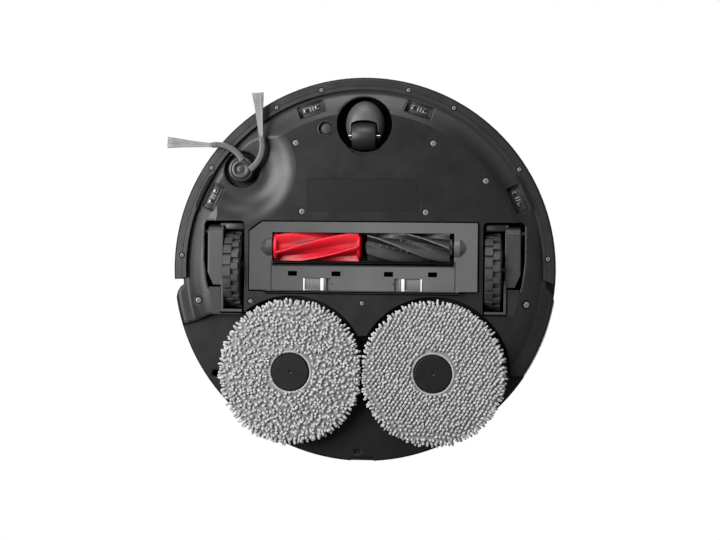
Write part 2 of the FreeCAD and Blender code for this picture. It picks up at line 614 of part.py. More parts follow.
def caster():
    axle_y = "caster_y + caster_trail"
    dome = lathe("caster_dome", [
        ("0", "6"), ("11", "6.3"), ("18", "8.6"), ("caster_dome - 0.6", "13"), ("caster_dome", "17"),
        ("caster_dome", "28"), ("caster_dome - 2", "30"), ("4", "30"), ("4", "caster_well_z + 2.2"),
        ("0", "caster_well_z + 2.2")], base_y="caster_y")
    slot = box("caster_slot", ("-caster_width / 2 - 1.3", "caster_width / 2 + 1.3"),
               (f"{axle_y} - caster_wheel - 1", "caster_y + caster_dome + 2"), ("0", "26.6"))
    bore = cross_rod("caster_bore", "1.5", ("-16.5", "16.5"), axle_y, "caster_wheel")
    node(cut("caster_yoke", dome, slot, bore), "caster_swivel")
    half = "caster_width / 2"
    wheel = lathe("caster_roller", [
        (f"-{half}", "1.55"), (half, "1.55"), (half, "caster_wheel - 2"),
        (f"{half} - 2.5", "caster_wheel - 0.8"), ("4", "caster_wheel"), ("-4", "caster_wheel"),
        (f"-{half} + 2.5", "caster_wheel - 0.8"), (f"-{half}", "caster_wheel - 2")],
        "H_Axis", base_y=axle_y, base_z="caster_wheel")
    node(wheel, "caster_wheel")
    node(cross_rod("caster_pin", "1.5", ("-16.5", "16.5"), axle_y, "caster_wheel"), "caster_axle")


def corner_brush():
    hub = lathe("brush_hub", [
        ("0", "8"), ("4.9", "8"), ("4.9", "6.5"), ("8", "6.7"), ("11", "8.2"),
        ("hub_radius", "10.5"), ("hub_radius", "16"), ("7", "16"), ("7", "22"), ("3.05", "22"),
        ("3.05", "12"), ("0", "12")], base_x="hub_x", base_y="hub_y")
    seat = node(hub, "side_brush_hub")
    bend = Vector(-22, 3, 0)
    start, turn = math.radians(-25), -math.radians(d.arm_turn)

    def on_bend(radius, share):
        angle = start + turn * share
        return bend + Vector(radius * math.cos(angle), radius * math.sin(angle), 0)

    inner, outer = d.arm_bend - 2.4, d.arm_bend + 2.4
    edges = [
        Part.Arc(on_bend(inner, 0), on_bend(inner, 0.5), on_bend(inner, 1)),
        Part.LineSegment(on_bend(inner, 1), on_bend(outer, 1)),
        Part.Arc(on_bend(outer, 1), on_bend(outer, 0.5), on_bend(outer, 0)),
        Part.LineSegment(on_bend(outer, 0), on_bend(inner, 0)),
    ]
    arm = Part.Face(Part.Wire([edge.toShape() for edge in edges])).extrude(Vector(0, 0, 3))
    arm.translate(Vector(0, 0, 6.6))
    root = on_bend(d.arm_bend, 1)
    side = math.sqrt(d.bristle_reach ** 2 - 27 ** 2)
    tip = Vector(-side, -26, 0)
    along = (tip - root).normalize()
    across = Vector(-along.y, along.x, 0)

    def slice_at(place, width, low, high):
        corners = [place + across * width + Vector(0, 0, low), place - across * width + Vector(0, 0, low),
                   place - across * width + Vector(0, 0, high), place + across * width + Vector(0, 0, high)]
        return Part.makePolygon(corners + corners[:1])

    bristles = Part.makeLoft([slice_at(root, 1.9, 6.9, 9.2), slice_at(tip, 4.7, 0.8, 2.4)], True, True)
    for label, shape in (("side_brush_arms", arm), ("side_brush_bristles", bristles)):
        pair = [shape, shape.rotated(Vector(), Vector(0, 0, 1), d.arm_apart)]
        piece = bind(feature(label + "_pair", Part.makeCompound(pair)), base_x="hub_x", base_y="hub_y")
        seat = node(cut(label + "_seated", piece, seat), label)
    node(lathe("brush_screw", [("0", "6.4"), ("2", "6.1"), ("4.8", "6.5"), ("4.8", "8"), ("0", "8")],
               base_x="hub_x", base_y="hub_y"), "side_brush_screw")
    body = lathe("corner_motor", [
        ("0", "13"), ("3", "13"), ("3", "hub_well_z + wall + 0.1"), ("15", "hub_well_z + wall + 0.1"),
        ("15", "52"), ("0", "52")], base_x="hub_x", base_y="hub_y")
    node(body, "side_brush_motor")


# ---------------------------------------------------------------- main brush


def main_cover():
    top = "cover_z + cover_thick"
    cover = slab("cover", [cover_plan("0")], ("cover_z", top))
    pocket(cover, [rectangle(("-window_x", "window_x"), ("window_front", "window_back"))],
           ("cover_z - 1", f"{top} + 1"))
    soften(cover, "cover_thick - 0.1", lambda b: flat_at(d.cover_z + d.cover_thick)(b)
           and abs(b.Center.x) < d.window_x + 1 and d.window_front - 1 < b.Center.y < d.window_back + 1
           and b.XMax < d.window_x + 1 and b.XMin > -d.window_x - 1, "Chamfer")
    pocket(cover, [rectangle((f"{x} - 3.75", f"{x} + 3.75"), ("2.4", "6.8")) for x in (-63, -23.6, 23.6, 63)],
           ("cover_z - 1", "cover_z + 2.4"))
    pocket(cover, [rectangle(("-window_x", "window_x"), ("window_back", "panel_front"))],
           ("cover_z - 1", "cover_z + 1.4"))
    long, wide = "(latch_long / 2 + 0.2)", "(latch_wide / 2 + 0.2)"
    pocket(cover, [rectangle((f"{sign} * (latch_x - 1.9) - {long} - 1.9", f"{sign} * (latch_x - 1.9) + {long} + 1.9"),
                             (f"latch_y - {wide}", f"latch_y + {wide}")) for sign in (-1, 1)],
           ("cover_z - 1", "cover_z + 2"))
    bulges = []
    for sign in (-1, 1):
        near, middle, far = (f"{sign} * (window_x + {out})" for out in (0, 5, 11.3))
        bulge = lathe("bulge", [(near, "0"), (near, "9.9"), (middle, "9.9"), (far, "5.4"), (far, "0")],
                      "H_Axis", base_y="roller_y", base_z="cover_z + 5.5")
        bulges.append(common("bulge_low", bulge, box("bulge_box", ("-100", "100"), ("-40", "0"),
                                                     ("0", "cover_z + 0.5"))))
    rooms = [cross_rod("bush_room", "6.4", (f"{sign} * 87.65 - 4.75", f"{sign} * 87.65 + 4.75"),
                       "roller_y", "roller_z") for sign in (-1, 1)]
    node(cut("cover_whole", fuse("cover_bulged", cover, *bulges), *rooms), "brush_cover")
    lip = slab("lip", [[("window_back", "cover_z - 0.9"), ("panel_front", "cover_z - 0.9"),
                        ("panel_front", "cover_z + 1.4"), ("window_back + 1.1", "cover_z + 1.4"),
                        ("window_back", "cover_z + 0.1")]], ("-window_x", "window_x"), "YZ_Plane")
    node(lip, "cover_scraper")
    for sign, side in ((1, "left"), (-1, "right")):
        middle = f"{sign} * latch_x"
        latch = slab(side + "_latch", [rectangle((f"{middle} - latch_long / 2", f"{middle} + latch_long / 2"),
                                                 ("latch_y - latch_wide / 2", "latch_y + latch_wide / 2"))],
                     ("cover_z - 1", "cover_z + 1.9"))
        soften(latch, "0.8", flat_at(d.cover_z - 1))
        scoop_cut = cross_rod(side + "_finger", "14", (f"{middle} - 6", f"{middle} + 6"),
                              "latch_y", "cover_z - 14 + 0.4")
        node(cut(side + "_latch_cut", latch, scoop_cut), side + "_cover_latch")


def star(x, core, tip, fins, turn):
    """A closed section of broad rounded fins at one place along the roller."""
    corners = []
    for i in range(fins):
        for share, radius in ((-0.5, core), (-0.25, core), (-0.13, tip), (0, tip * 1.0), (0.13, tip), (0.25, core)):
            angle = math.radians(turn) + 2 * math.pi * (i + share) / fins
            corners.append(Vector(x, radius * math.cos(angle), radius * math.sin(angle)))
    return Part.makePolygon(corners + corners[:1])


def rollers():
    for sign, colour, first in ((-1, "red", 2.4), (1, "grey", 1.4)):
        inner, outer = sign * first, sign * d.roller_end
        spot = {"base_y": "roller_y", "base_z": "roller_z"}
        core = lathe(colour + "_core", [
            (f"{inner}", "0"), (f"{inner}", "4.6"), (f"{inner + sign * 2.5}", "6"),
            (f"{outer - sign * 3}", "9"), (f"{outer - sign * 3}", "12"), (f"{outer}", "12"),
            (f"{outer}", "4"), (f"{outer + sign * 7}", "4"), (f"{outer + sign * 7}", "0")],
            "H_Axis", **spot)
        node(core, colour + "_roller_core")
        steps = 9
        run = [inner + (outer - sign * 3.2 - inner) * i / (steps - 1) for i in range(steps)]
        sections = [star(x, 9.6, d.roller_radius, 5, sign * 150 * i / (steps - 1)) for i, x in enumerate(run)]
        vanes = Part.makeLoft(sections, True, True)
        vanes = feature(colour + "_vanes", vanes)
        bind(vanes, **spot)
        node(cut(colour + "_fins", vanes, core), colour + "_roller_fins")


def brush_drive():
    low = "cover_z + cover_thick + 0.4"
    block = box("chamber_block", ("-chamber_x", "chamber_x"), ("-40.5", "0.8"), (low, "36"))
    duct = box("chamber_duct", ("-24", "24"), ("-36", "-8"), ("30", "bin_floor_z - 2"))
    hollow = [cross_rod("chamber_bore", "chamber_radius - 1.6", ("-82.6", "82.6"), "roller_y", "roller_z"),
              box("chamber_mouth", ("-82.6", "82.6"),
                  ("roller_y - chamber_radius + 1.6", "roller_y + chamber_radius - 1.6"), ("0", "roller_z")),
              box("duct_bore", ("-20", "20"), ("-32", "-12"), ("20", "50")),
              cross_rod("bearing_seat", "6", ("-chamber_x - 1", "chamber_x + 1"), "roller_y", "roller_z")]
    node(cut("chamber", fuse("chamber_solid", block, duct), *hollow), "brush_chamber")
    bushes = [lathe("bush", [(f"{sign} * 83", "4.05"), (f"{sign} * chamber_x", "4.05"),
                             (f"{sign} * chamber_x", "6"), (f"{sign} * 83", "6")], "H_Axis",
                    base_y="roller_y", base_z="roller_z") for sign in (-1, 1)]
    node(group("bushes", *bushes), "roller_bearings")
    motor = cross_rod("motor_can", "8", ("40", "94"), "10.5", "29")
    case = box("motor_case", ("chamber_x + 1", "100.5"), ("-32", "19"), ("13.5", "38"))
    node(fuse("motor_whole", motor, case), "brush_motor")


# ---------------------------------------------------------------- mops and inner parts


def mops():
    for sign, side in ((1, "left"), (-1, "right")):
        spot = {"base_x": f"{sign} * mop_x", "base_y": "mop_y"}
        node(lathe(side + "_gear", [
            ("5.05", "26.5"), ("28", "26.5"), ("28", "40"), ("22", "44"), ("0", "44"), ("0", "36"),
            ("5.05", "36")], **spot), side + "_mop_gearbox")
        node(lathe(side + "_plate", [
            ("0", "3.2"), ("1.5", "2.5"), ("mop_cap - 1", "2.5"), ("mop_cap", "3.5"),
            ("mop_cap", "pad_top_z"), ("mop_plate", "pad_top_z"), ("mop_plate", "plate_top_z"),
            ("14", "plate_top_z"), ("mop_shaft + 1", "plate_top_z + 3"), ("mop_shaft", "plate_top_z + 4"),
            ("mop_shaft", "34"), ("0", "34")], **spot), side + "_mop_plate")
        node(lathe(side + "_pad", [
            ("mop_cap + 0.4", "pad_low_z + 1.2"), ("mop_cap + 2.2", "pad_low_z"), ("mop_pad - 3", "pad_low_z"),
            ("mop_pad", "pad_low_z + 2.4"), ("mop_pad", "pad_top_z - 1.5"), ("mop_pad - 2", "pad_top_z"),
            ("mop_cap + 0.4", "pad_top_z")], **spot), side + "_mop_pad")


def inner_parts():
    cell_block = slab("battery", [rectangle(("-60", "60"), ("-102", "-67.5"))], ("17", "52"))
    soften(cell_block, "4", lambda b: b.YLength < 1e-4 and b.ZLength < 1e-4)
    node(cell_block, "battery_pack")
    board = box("board", ("-66", "66"), ("-148", "-70"), ("57", "58.6"))
    chips = [box("chip", (f"{x}", f"{x + w}"), (f"{y}", f"{y + w}"), ("58.6", "60.4"))
             for x, y, w in ((-40, -120, 14), (-8, -110, 18), (24, -125, 12), (35, -95, 16), (-50, -92, 10))]
    node(fuse("board_set", board, *chips), "main_board")
    node(common("tank", rod("tank_round", "166", ("57", "73")),
                box("tank_box", ("-125", "125"), ("101", "170"), ("57", "73"))), "water_tank")
    spot = {"base_x": "98", "base_y": "-85"}
    node(lathe("fan_case", [
        ("2.05", "20.5"), ("26", "20.5"), ("26", "50"), ("14", "50"), ("14", "48"), ("24", "48"),
        ("24", "22.5"), ("5", "22.5"), ("5", "27"), ("2.05", "27")], **spot), "fan_housing")
    rotor = lathe("fan_core", [("0", "21.5"), ("2", "21.5"), ("2", "28"), ("22", "28"), ("22", "29.6"),
                               ("9", "33"), ("6", "44"), ("0", "46")], **spot)
    blades = []
    for i in range(7):
        blade = Part.makeBox(16, 1.4, 12, Vector(5.5, -0.7, 29))
        blade.rotate(Vector(), Vector(0, 0, 1), 360 / 7 * i)
        blades.append(blade)
    vanes = bind(feature("fan_vanes", Part.makeCompound(blades)), **spot)
    node(fuse("fan_wheel", rotor, vanes), "fan_impeller")


def dust_bin():
    x, y = ("-72", "72"), ("-63", "3")
    body = box("bin_out", x, y, ("bin_floor_z", "70"))
    hollow = box("bin_in", ("-70.2", "70.2"), ("-61.2", "1.2"), ("bin_floor_z + 1.8", "71"))
    port = box("bin_port", ("-18", "18"), ("-31", "-13"), ("bin_floor_z - 1", "bin_floor_z + 3"))
    node(cut("bin_body", body, hollow, port), "dustbin_body")
    plate = box("bin_cap", x, y, ("70", "73"))
    grip = box("bin_grip", ("-30", "30"), ("-36", "-30"), ("73", "77.5"))
    gap = box("grip_gap", ("-25", "25"), ("-37", "-29"), ("73", "75.3"))
    node(fuse("bin_top", plate, cut("grip_open", grip, gap)), "dustbin_lid")
    frame = box("filter_frame", ("-62", "62"), ("-61.2", "-54"), ("bin_floor_z + 1.8", "68"))
    slots = [box("filter_slot", (f"{-60 + i * 12.2}", f"{-50 + i * 12.2}"), ("-55.5", "-53"), ("50", "66"))
             for i in range(10)]
    node(cut("filter", frame, *slots), "dustbin_filter")


def sensors_and_screws():
    size = ("cliff_long", "cliff_wide")
    holders, lenses = [], []
    for angle in CLIFF_ANGLES:
        holders.append(turned_box("cliff_block", "cliff_circle", angle, size, ("ring_z + 0.4", "25")))
        shift = math.degrees(6 / d.cliff_circle)
        for side in (-1, 1):
            lenses.append(turned_box("lens", "cliff_circle", angle + side * shift, ("8.4", "8"),
                                     ("ring_z + 0.4", "ring_z + 2")))
    lens_set = group("lens_set", *lenses)
    node(cut("cliff_cut", group("cliff_blocks", *holders), lens_set), "cliff_sensors")
    node(lens_set, "cliff_lenses")
    node(lathe("carpet_eye", [
        ("0", "deck_z + 0.5"), ("carpet_radius - 1.6", "deck_z + 0.5"), ("carpet_radius - 1.6", "deck_z + 1.2"),
        ("carpet_radius", "deck_z + 1.2"), ("carpet_radius", "18"), ("0", "18")],
        base_x="carpet_x", base_y="carpet_y"), "carpet_sensor")
    node(box("label", ("-50.5", "50.5"), ("-80.8", "-51.4"), ("deck_z", "deck_z + 0.3")), "rating_label")
    plates = [turned_box("contact", "body_radius - 0.3", angle, ("9", "0.6"), ("26", "41"))
              for angle in (167.5, -167.5)]
    node(group("contacts", *plates), "charging_contacts")
    node(box("dock_eye", ("-10.4", "10.4"), ("170.6", "173"), ("23.4", "34")), "dock_window")
    made = []
    for x, y in DECK_SCREWS + SIDE_SCREWS + SMALL_SCREWS:
        head = d.rim_screw if screw_head(x, y) == "rim_screw" else d.deck_screw
        made.append(screws("screw", [(x, y)], head, 6, underside_z(x, y) + 0.1))
    node(group("screw_set", *made), "chassis_screws")


lower_casing()
upper_casing()
top_pieces()
turret()
bumper()
drive_wheels()
caster()
corner_brush()
main_cover()
rollers()
brush_drive()
mops()
inner_parts()
dust_bin()
sensors_and_screws()
doc.recompute()

for item in doc.Objects:
    if any(state in item.State for state in ("Invalid", "Error")):
        raise RuntimeError(f"{item.Name} did not recompute")
os.makedirs("parts", exist_ok=True)
for item in nodes:
    if item.Shape.isNull() or not item.Shape.isValid() or not item.Shape.Solids:
        raise RuntimeError(f"{item.Label} is not a sound solid")
    item.Shape.exportStep(f"parts/{item.Label}.step")
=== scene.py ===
"""Looks of a robot vacuum seen from below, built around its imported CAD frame.

Metres, in the row frame: +Z up, the floor at z = 0, the robot's front towards -Y and its right side towards -X.
"""

import json
import math
import random

import bmesh
import bpy
from mathutils import Matrix, Vector


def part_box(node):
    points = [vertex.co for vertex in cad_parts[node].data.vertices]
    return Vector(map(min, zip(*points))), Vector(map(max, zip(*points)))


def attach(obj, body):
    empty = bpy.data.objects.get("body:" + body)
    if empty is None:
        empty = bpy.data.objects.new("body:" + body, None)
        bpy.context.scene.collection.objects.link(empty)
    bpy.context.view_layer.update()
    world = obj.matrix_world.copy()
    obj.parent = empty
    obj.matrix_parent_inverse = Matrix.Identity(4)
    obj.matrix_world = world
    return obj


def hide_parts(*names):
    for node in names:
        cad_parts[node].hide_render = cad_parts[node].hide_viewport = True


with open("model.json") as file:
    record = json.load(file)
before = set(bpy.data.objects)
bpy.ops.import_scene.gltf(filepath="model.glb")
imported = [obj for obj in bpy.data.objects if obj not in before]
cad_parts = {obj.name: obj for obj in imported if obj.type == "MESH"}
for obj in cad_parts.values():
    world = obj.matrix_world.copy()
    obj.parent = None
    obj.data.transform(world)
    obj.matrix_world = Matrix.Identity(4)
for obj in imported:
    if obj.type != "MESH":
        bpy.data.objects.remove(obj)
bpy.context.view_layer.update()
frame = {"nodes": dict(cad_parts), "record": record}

NODES = frame["nodes"]
MM = 0.001

# ---------------- places, read from the frame


def centre(node):
    low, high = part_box(node)
    return (low + high) / 2


def size(node):
    low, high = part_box(node)
    return high - low


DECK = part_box("rating_label")[0].z

# ---------------- materials


def linear(srgb):
    """One linear channel value from a 0-255 screen value."""
    c = srgb / 255
    return c / 12.92 if c <= 0.04045 else ((c + 0.055) / 1.055) ** 2.4


def grey(level, warm=0.0):
    value = linear(level)
    return (value * (1 + warm), value, value * (1 - warm), 1.0)


def scaled(colour, factor):
    return tuple(c * factor for c in colour[:3]) + (1.0,)


MATERIALS = {}


class Maker:
    """A material's node tree, built in a few lines and kept in MATERIALS."""

    def __init__(self, name):
        self.material = MATERIALS[name] = bpy.data.materials.new(name)
        self.material.use_nodes = True
        self.tree = self.material.node_tree
        self.shader = self.tree.nodes["Principled BSDF"]
        self.place = self.add("ShaderNodeTexCoord").outputs["Object"]
        self.bumps = None

    def add(self, kind, **values):
        node = self.tree.nodes.new(kind)
        for name, value in values.items():
            setattr(node, name, value)
        return node

    def link(self, source, target):
        self.tree.links.new(source, target)

    def texture(self, kind, scale, **values):
        """A texture node laid out in the object's own space."""
        node = self.add(kind, **values)
        node.inputs["Scale"].default_value = scale
        self.link(self.place, node.inputs["Vector"])
        return node

    def noise(self, scale, detail=3.0, rough=0.5):
        node = self.texture("ShaderNodeTexNoise", scale)
        node.inputs["Detail"].default_value = detail
        node.inputs["Roughness"].default_value = rough
        return node.outputs["Fac"]

    def spread(self, value, low, high, start=0.3, end=0.7):
        """Maps a 0-1 value's start..end to low..high."""
        node = self.add("ShaderNodeMapRange")
        self.link(value, node.inputs["Value"])
        for name, number in zip(("From Min", "From Max", "To Min", "To Max"), (start, end, low, high)):
            node.inputs[name].default_value = number
        return node.outputs["Result"]

    def blend(self, value, first, second):
        """A colour between two, by a 0-1 value."""
        node = self.add("ShaderNodeMix", data_type="RGBA")
        self.link(value, node.inputs["Factor"])
        for socket, colour in ((node.inputs["A"], first), (node.inputs["B"], second)):
            if isinstance(colour, tuple):
                socket.default_value = colour
            else:
                self.link(colour, socket)
        return node.outputs["Result"]

    def clouds(self, patches, first, second, start=0.3, end=0.7):
        """A colour that drifts between two in noise patches (scale, detail)."""
        return self.blend(self.spread(self.noise(*patches), 0, 1, start, end), first, second)

    def along(self, axis):
        """The place along one axis of the object, in metres."""
        node = self.add("ShaderNodeSeparateXYZ")
        self.link(self.place, node.inputs["Vector"])
        return node.outputs[axis]

    def attribute(self, name):
        return self.add("ShaderNodeAttribute", attribute_name=name).outputs["Fac"]

    def colour(self, source):
        self.link(source, self.shader.inputs["Base Color"])

    def rough(self, source):
        self.link(source, self.shader.inputs["Roughness"])

    def rounded(self, radius):
        """Makes sharp edges catch the light as if they were rounded."""
        node = self.add("ShaderNodeBevel", samples=4)
        node.inputs["Radius"].default_value = radius
        self.bumps = node.outputs["Normal"]

    def bump(self, source, depth, strength=1.0):
        """Adds one more layer of relief, depth metres high."""
        node = self.add("ShaderNodeBump")
        node.inputs["Distance"].default_value = depth
        node.inputs["Strength"].default_value = strength
        self.link(source, node.inputs["Height"])
        if self.bumps:
            self.link(self.bumps, node.inputs["Normal"])
        self.bumps = node.outputs["Normal"]
        self.link(self.bumps, self.shader.inputs["Normal"])

    def surface(self, gloss, grain=0.03 * MM, gloss_patches=(60, 2), grain_patches=(1900, 2)):
        """Roughness that drifts over the gloss range, and a fine grain."""
        self.rough(self.spread(self.noise(*gloss_patches), *gloss))
        self.bump(self.noise(*grain_patches), grain)

    def set(self, **values):
        for name, value in values.items():
            self.shader.inputs[name.replace("_", " ").title().replace("Ior", "IOR")].default_value = value


FLOW = (28, 4)  # the noise of faint flow marks in moulded plastic


def plastic(name, level, gloss=(0.38, 0.5), grain=0.03 * MM, warm=0.0, specular=0.5, edge=0.45):
    """Moulded plastic: spark texture, flow marks, uneven gloss, and soft edges polished paler by handling."""
    m = Maker(name)
    m.rounded(edge * MM)
    base = grey(level, warm)
    edges = m.spread(m.add("ShaderNodeNewGeometry").outputs["Pointiness"], 0.0, 0.35, 0.52, 0.60)
    m.colour(m.blend(edges, m.clouds(FLOW, scaled(base, 0.88), base), scaled(base, 2.2)))
    m.surface(gloss, grain)
    m.bump(m.noise(40, 2), grain * 2.5, 0.5)
    m.set(specular_ior_level=specular)


def chassis():
    """The underside: a soft ring around a flat deck, with painted light on the outer part of the ring's front, and
    painted shade up inside its bays, where the colour darkens and the reflections are damped.
    """
    m = Maker("charcoal_chassis")
    flat, length = m.add("ShaderNodeMapping"), m.add("ShaderNodeVectorMath", operation="LENGTH")
    flat.inputs["Scale"].default_value = (1, 1, 0)
    m.link(m.place, flat.inputs["Vector"])
    m.link(flat.outputs["Vector"], length.inputs[0])
    radius = length.outputs["Value"]
    m.rounded(0.35 * MM)
    deck_edges = m.bumps
    m.rounded(3.5 * MM)
    mix = m.add("ShaderNodeMix", data_type="VECTOR")
    m.link(m.spread(radius, 0, 1, 0.1415, 0.1425), mix.inputs["Factor"])
    m.link(deck_edges, mix.inputs[4])
    m.link(m.bumps, mix.inputs[5])
    m.bumps = mix.outputs[1]
    # painted light: the outer part of the ring's front is lightened towards grey 60
    painted_rim_light = m.add("ShaderNodeMath", operation="MULTIPLY")
    m.link(m.spread(radius, 0, 1, 0.146, 0.161), painted_rim_light.inputs[0])
    m.link(m.spread(m.along("Y"), 1, 0, -0.075, -0.02), painted_rim_light.inputs[1])
    # painted shade: with height up inside the bays the colour darkens to near black and the reflections fade
    deep = m.spread(m.along("Z"), 0, 1, 0.0195, 0.030)
    outside = m.blend(painted_rim_light.outputs["Value"], m.clouds(FLOW, grey(25), grey(28)), grey(60))
    m.colour(m.blend(deep, outside, grey(7)))
    m.surface((0.30, 0.38), 0.02 * MM)
    m.link(m.spread(deep, 0.36, 0.08, 0, 1), m.shader.inputs["Specular IOR Level"])


def shell():
    """The outer body: soft-gloss plastic, with painted shade in near black and damped reflections on the faces
    turned to the mop bay.
    """
    m = Maker("charcoal_upper")
    m.rounded(0.45 * MM)
    low, high = 0.0445, 0.0455
    # painted shade: below 44.5 mm, the faces in the mop bay turn near black
    height = m.along("Z")
    m.colour(m.blend(m.spread(height, 0, 1, low, high), grey(9), m.clouds(FLOW, grey(33), grey(37))))
    m.link(m.spread(height, 0.08, 0.5, low, high), m.shader.inputs["Specular IOR Level"])
    m.surface((0.30, 0.40))


def cover():
    """Satin grey plastic, with painted shade that darkens it towards its right end."""
    m = Maker("cover_grey")
    m.rounded(0.45 * MM)
    # painted shade: the grey darkens from the middle towards the right end at -X
    painted_shade_grey, satin = m.clouds(FLOW, grey(50), grey(54)), m.clouds(FLOW, grey(86), grey(90))
    m.colour(m.blend(m.spread(m.along("X"), 0, 1, -0.10, 0.0), painted_shade_grey, satin))
    m.surface((0.36, 0.46))


def rubber(name, level):
    """Moulded rubber with a dusty bloom."""
    m = Maker(name)
    m.colour(m.clouds((120, 5), grey(level), scaled(grey(level), 1.5), 0.45, 0.75))
    m.surface((0.5, 0.65), 0.04 * MM, (300, 3), (2200, 3))


def silicone(name, colour, dark, crest):
    """Soft coloured blade rubber, with painted shade deep in its valleys and a painted highlight along each crest.
    """
    m = Maker(name)
    m.rounded(0.4 * MM)
    shade = m.attribute("shade")
    body = m.clouds((90, 3), scaled(colour, 0.88), colour)
    # painted light: low shade values darken towards the painted valley shade, high ones brighten to the painted
    # crest highlight
    m.colour(m.blend(m.spread(shade, 0, 1, 0.8, 1.0), m.blend(m.spread(shade, 0, 1, 0, 0.6), dark, body), crest))
    m.surface((0.40, 0.5), 0.03 * MM, (400, 2), (1600, 2))
    m.set(subsurface_weight=0.04, specular_ior_level=0.4)
    m.shader.inputs["Subsurface Radius"].default_value = (0.003, 0.001, 0.001)


def metal(name, level, gloss):
    """Plated or ground steel with fine scratches."""
    m = Maker(name)
    m.colour(m.clouds((500, 4), scaled(grey(level), 0.75), grey(level)))
    m.surface(gloss, 0.01 * MM, (900, 3), (2500, 2))
    m.set(metallic=1.0)


def window(name, level, tint=0.0):
    """Polished infrared-clear plastic: almost black, with faint depth and a hard surface."""
    m = Maker(name)
    base = grey(level)
    deep = (base[0] * (1 + tint), base[1], base[2] * (1 + tint * 0.6), 1.0)
    m.colour(m.clouds((35, 3), base, deep))
    m.surface((0.06, 0.14), 0.01 * MM, (220, 2), (60, 2))
    m.set(coat_weight=0.6, coat_roughness=0.04)


def fibres(name, level, dark_level, rough=(0.7, 0.9), warm=0.0, fuzz=0.22 * MM):
    """Yarn or nylon: strand-to-strand tone from the mesh, which on tufts also holds painted shade towards their
    roots, with fine fuzz.
    """
    m = Maker(name)
    m.colour(m.blend(m.spread(m.attribute("shade"), 0, 1, 0, 1), grey(dark_level, warm), grey(level, warm)))
    m.surface(rough, fuzz, (700, 2), (3200, 4, 0.7))
    m.set(sheen_weight=0.35, sheen_roughness=0.5, specular_ior_level=0.25)


def label_film():
    """Blank matt film."""
    m = Maker("label_film")
    m.colour(m.clouds((45, 3), grey(16), grey(19)))
    m.surface((0.42, 0.5), 0.01 * MM, (160, 2), (1400, 2))
    m.set(specular_ior_level=0.25)


def board():
    m = Maker("board_green")
    tracks = m.texture("ShaderNodeTexVoronoi", 260, feature="DISTANCE_TO_EDGE").outputs["Distance"]
    m.colour(m.blend(m.spread(tracks, 0, 1, 0.02, 0.05), (0.02, 0.12, 0.05, 1), (0.012, 0.06, 0.03, 1)))
    m.rough(m.spread(m.noise(200), 0.3, 0.45))
    m.bump(tracks, 0.03 * MM)


def pleats():
    m = Maker("filter_media")
    wave = m.texture("ShaderNodeTexWave", 180).outputs["Fac"]
    # painted shade: the colour darkens in the folds of the pleats, on the same wave as their bump
    m.colour(m.blend(wave, grey(150), grey(215)))
    m.rough(m.spread(m.noise(500), 0.8, 0.95))
    m.bump(wave, 0.6 * MM)


def make_materials():
    chassis()
    shell()
    cover()
    label_film()
    board()
    pleats()
    plastic("charcoal_shell", 31, (0.30, 0.40))
    plastic("charcoal_gloss", 34, (0.26, 0.34), grain=0.015 * MM)
    plastic("inner_plastic", 52, (0.5, 0.6))
    plastic("black_plastic", 19, (0.4, 0.5))
    plastic("battery_wrap", 40, (0.3, 0.4))
    plastic("tank_plastic", 70, (0.2, 0.3))
    plastic("bin_smoke", 55, (0.15, 0.22))
    plastic("arm_grey", 46, (0.36, 0.46), edge=1.3)
    plastic("caster_grey", 74, (0.42, 0.5))
    plastic("caster_roller", 28, (0.42, 0.5))
    plastic("brush_grey", 78, (0.36, 0.46))
    plastic("latch_silver", 88, (0.3, 0.4), warm=-0.02, edge=0.2)
    # latch_bright: a brighter copy of the latch's silver, used as painted highlight
    plastic("latch_bright", 198, (0.3, 0.4), warm=-0.02, edge=0.2)
    plastic("screw_steel", 116, (0.34, 0.44), edge=0.15)
    plastic("hub_grey", 50, (0.34, 0.44), edge=0.2)
    plastic("sensor_plate", 38, (0.4, 0.5), edge=0.2)
    plastic("light_pipe", 120, (0.25, 0.35), edge=0.2)
    plastic("carpet_face", 38, (0.5, 0.6), edge=0.3)
    # cover_dark: painted shade for the heel strip on the brush cover
    plastic("cover_dark", 48, (0.4, 0.5), edge=0.2)
    plastic("scraper_black", 34, (0.45, 0.55), edge=0.2)
    plastic("cap_black", 20, (0.36, 0.42), specular=0.25)
    plastic("bridge_dark", 24, (0.42, 0.5), edge=0.6)
    # step_dark: painted shade for the recess behind each arm
    plastic("step_dark", 15, (0.4, 0.5), edge=0.2)
    # pit_black: the near black for painted shade in the cover's slots, the bumper's gaps and round the screws, and
    # for the cover's dark seams
    plastic("pit_black", 9, (0.6, 0.7), edge=0.2, specular=0.2)
    metal("motor_steel", 150, (0.25, 0.4))
    metal("axle_steel", 180, (0.15, 0.28))
    metal("contact_metal", 205, (0.2, 0.3))
    window("sensor_lens", 30, 0.4)
    window("dark_window", 20)
    rubber("tyre_rubber", 52)
    # the last two colours of each roller are its painted valley shade and its painted crest highlight
    silicone("roller_red", (0.70, 0.004, 0.018, 1), (0.10, 0.002, 0.004, 1), (0.95, 0.06, 0.09, 1))
    silicone("roller_grey", grey(64), grey(22), grey(128))
    fibres("pale_bristle", 158, 134, (0.5, 0.65), fuzz=0.03 * MM)
    fibres("mop_chenille", 202, 132)
    fibres("bristle_red", 44, 16, (0.4, 0.55), warm=0.9)


def dress_cad():
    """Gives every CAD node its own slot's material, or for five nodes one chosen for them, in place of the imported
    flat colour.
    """
    for entry in frame["record"]["subparts"]:
        data = NODES[entry["node"]].data
        own = {"bottom_chassis": "charcoal_chassis", "upper_housing": "charcoal_upper", "arm_pins": "black_plastic",
               "left_mop_plate": "cap_black", "right_mop_plate": "cap_black"}.get(entry["node"])
        for i in range(len(data.materials)):
            data.materials[i] = MATERIALS[own or entry["material_slot"]]


# ---------------- mesh helpers


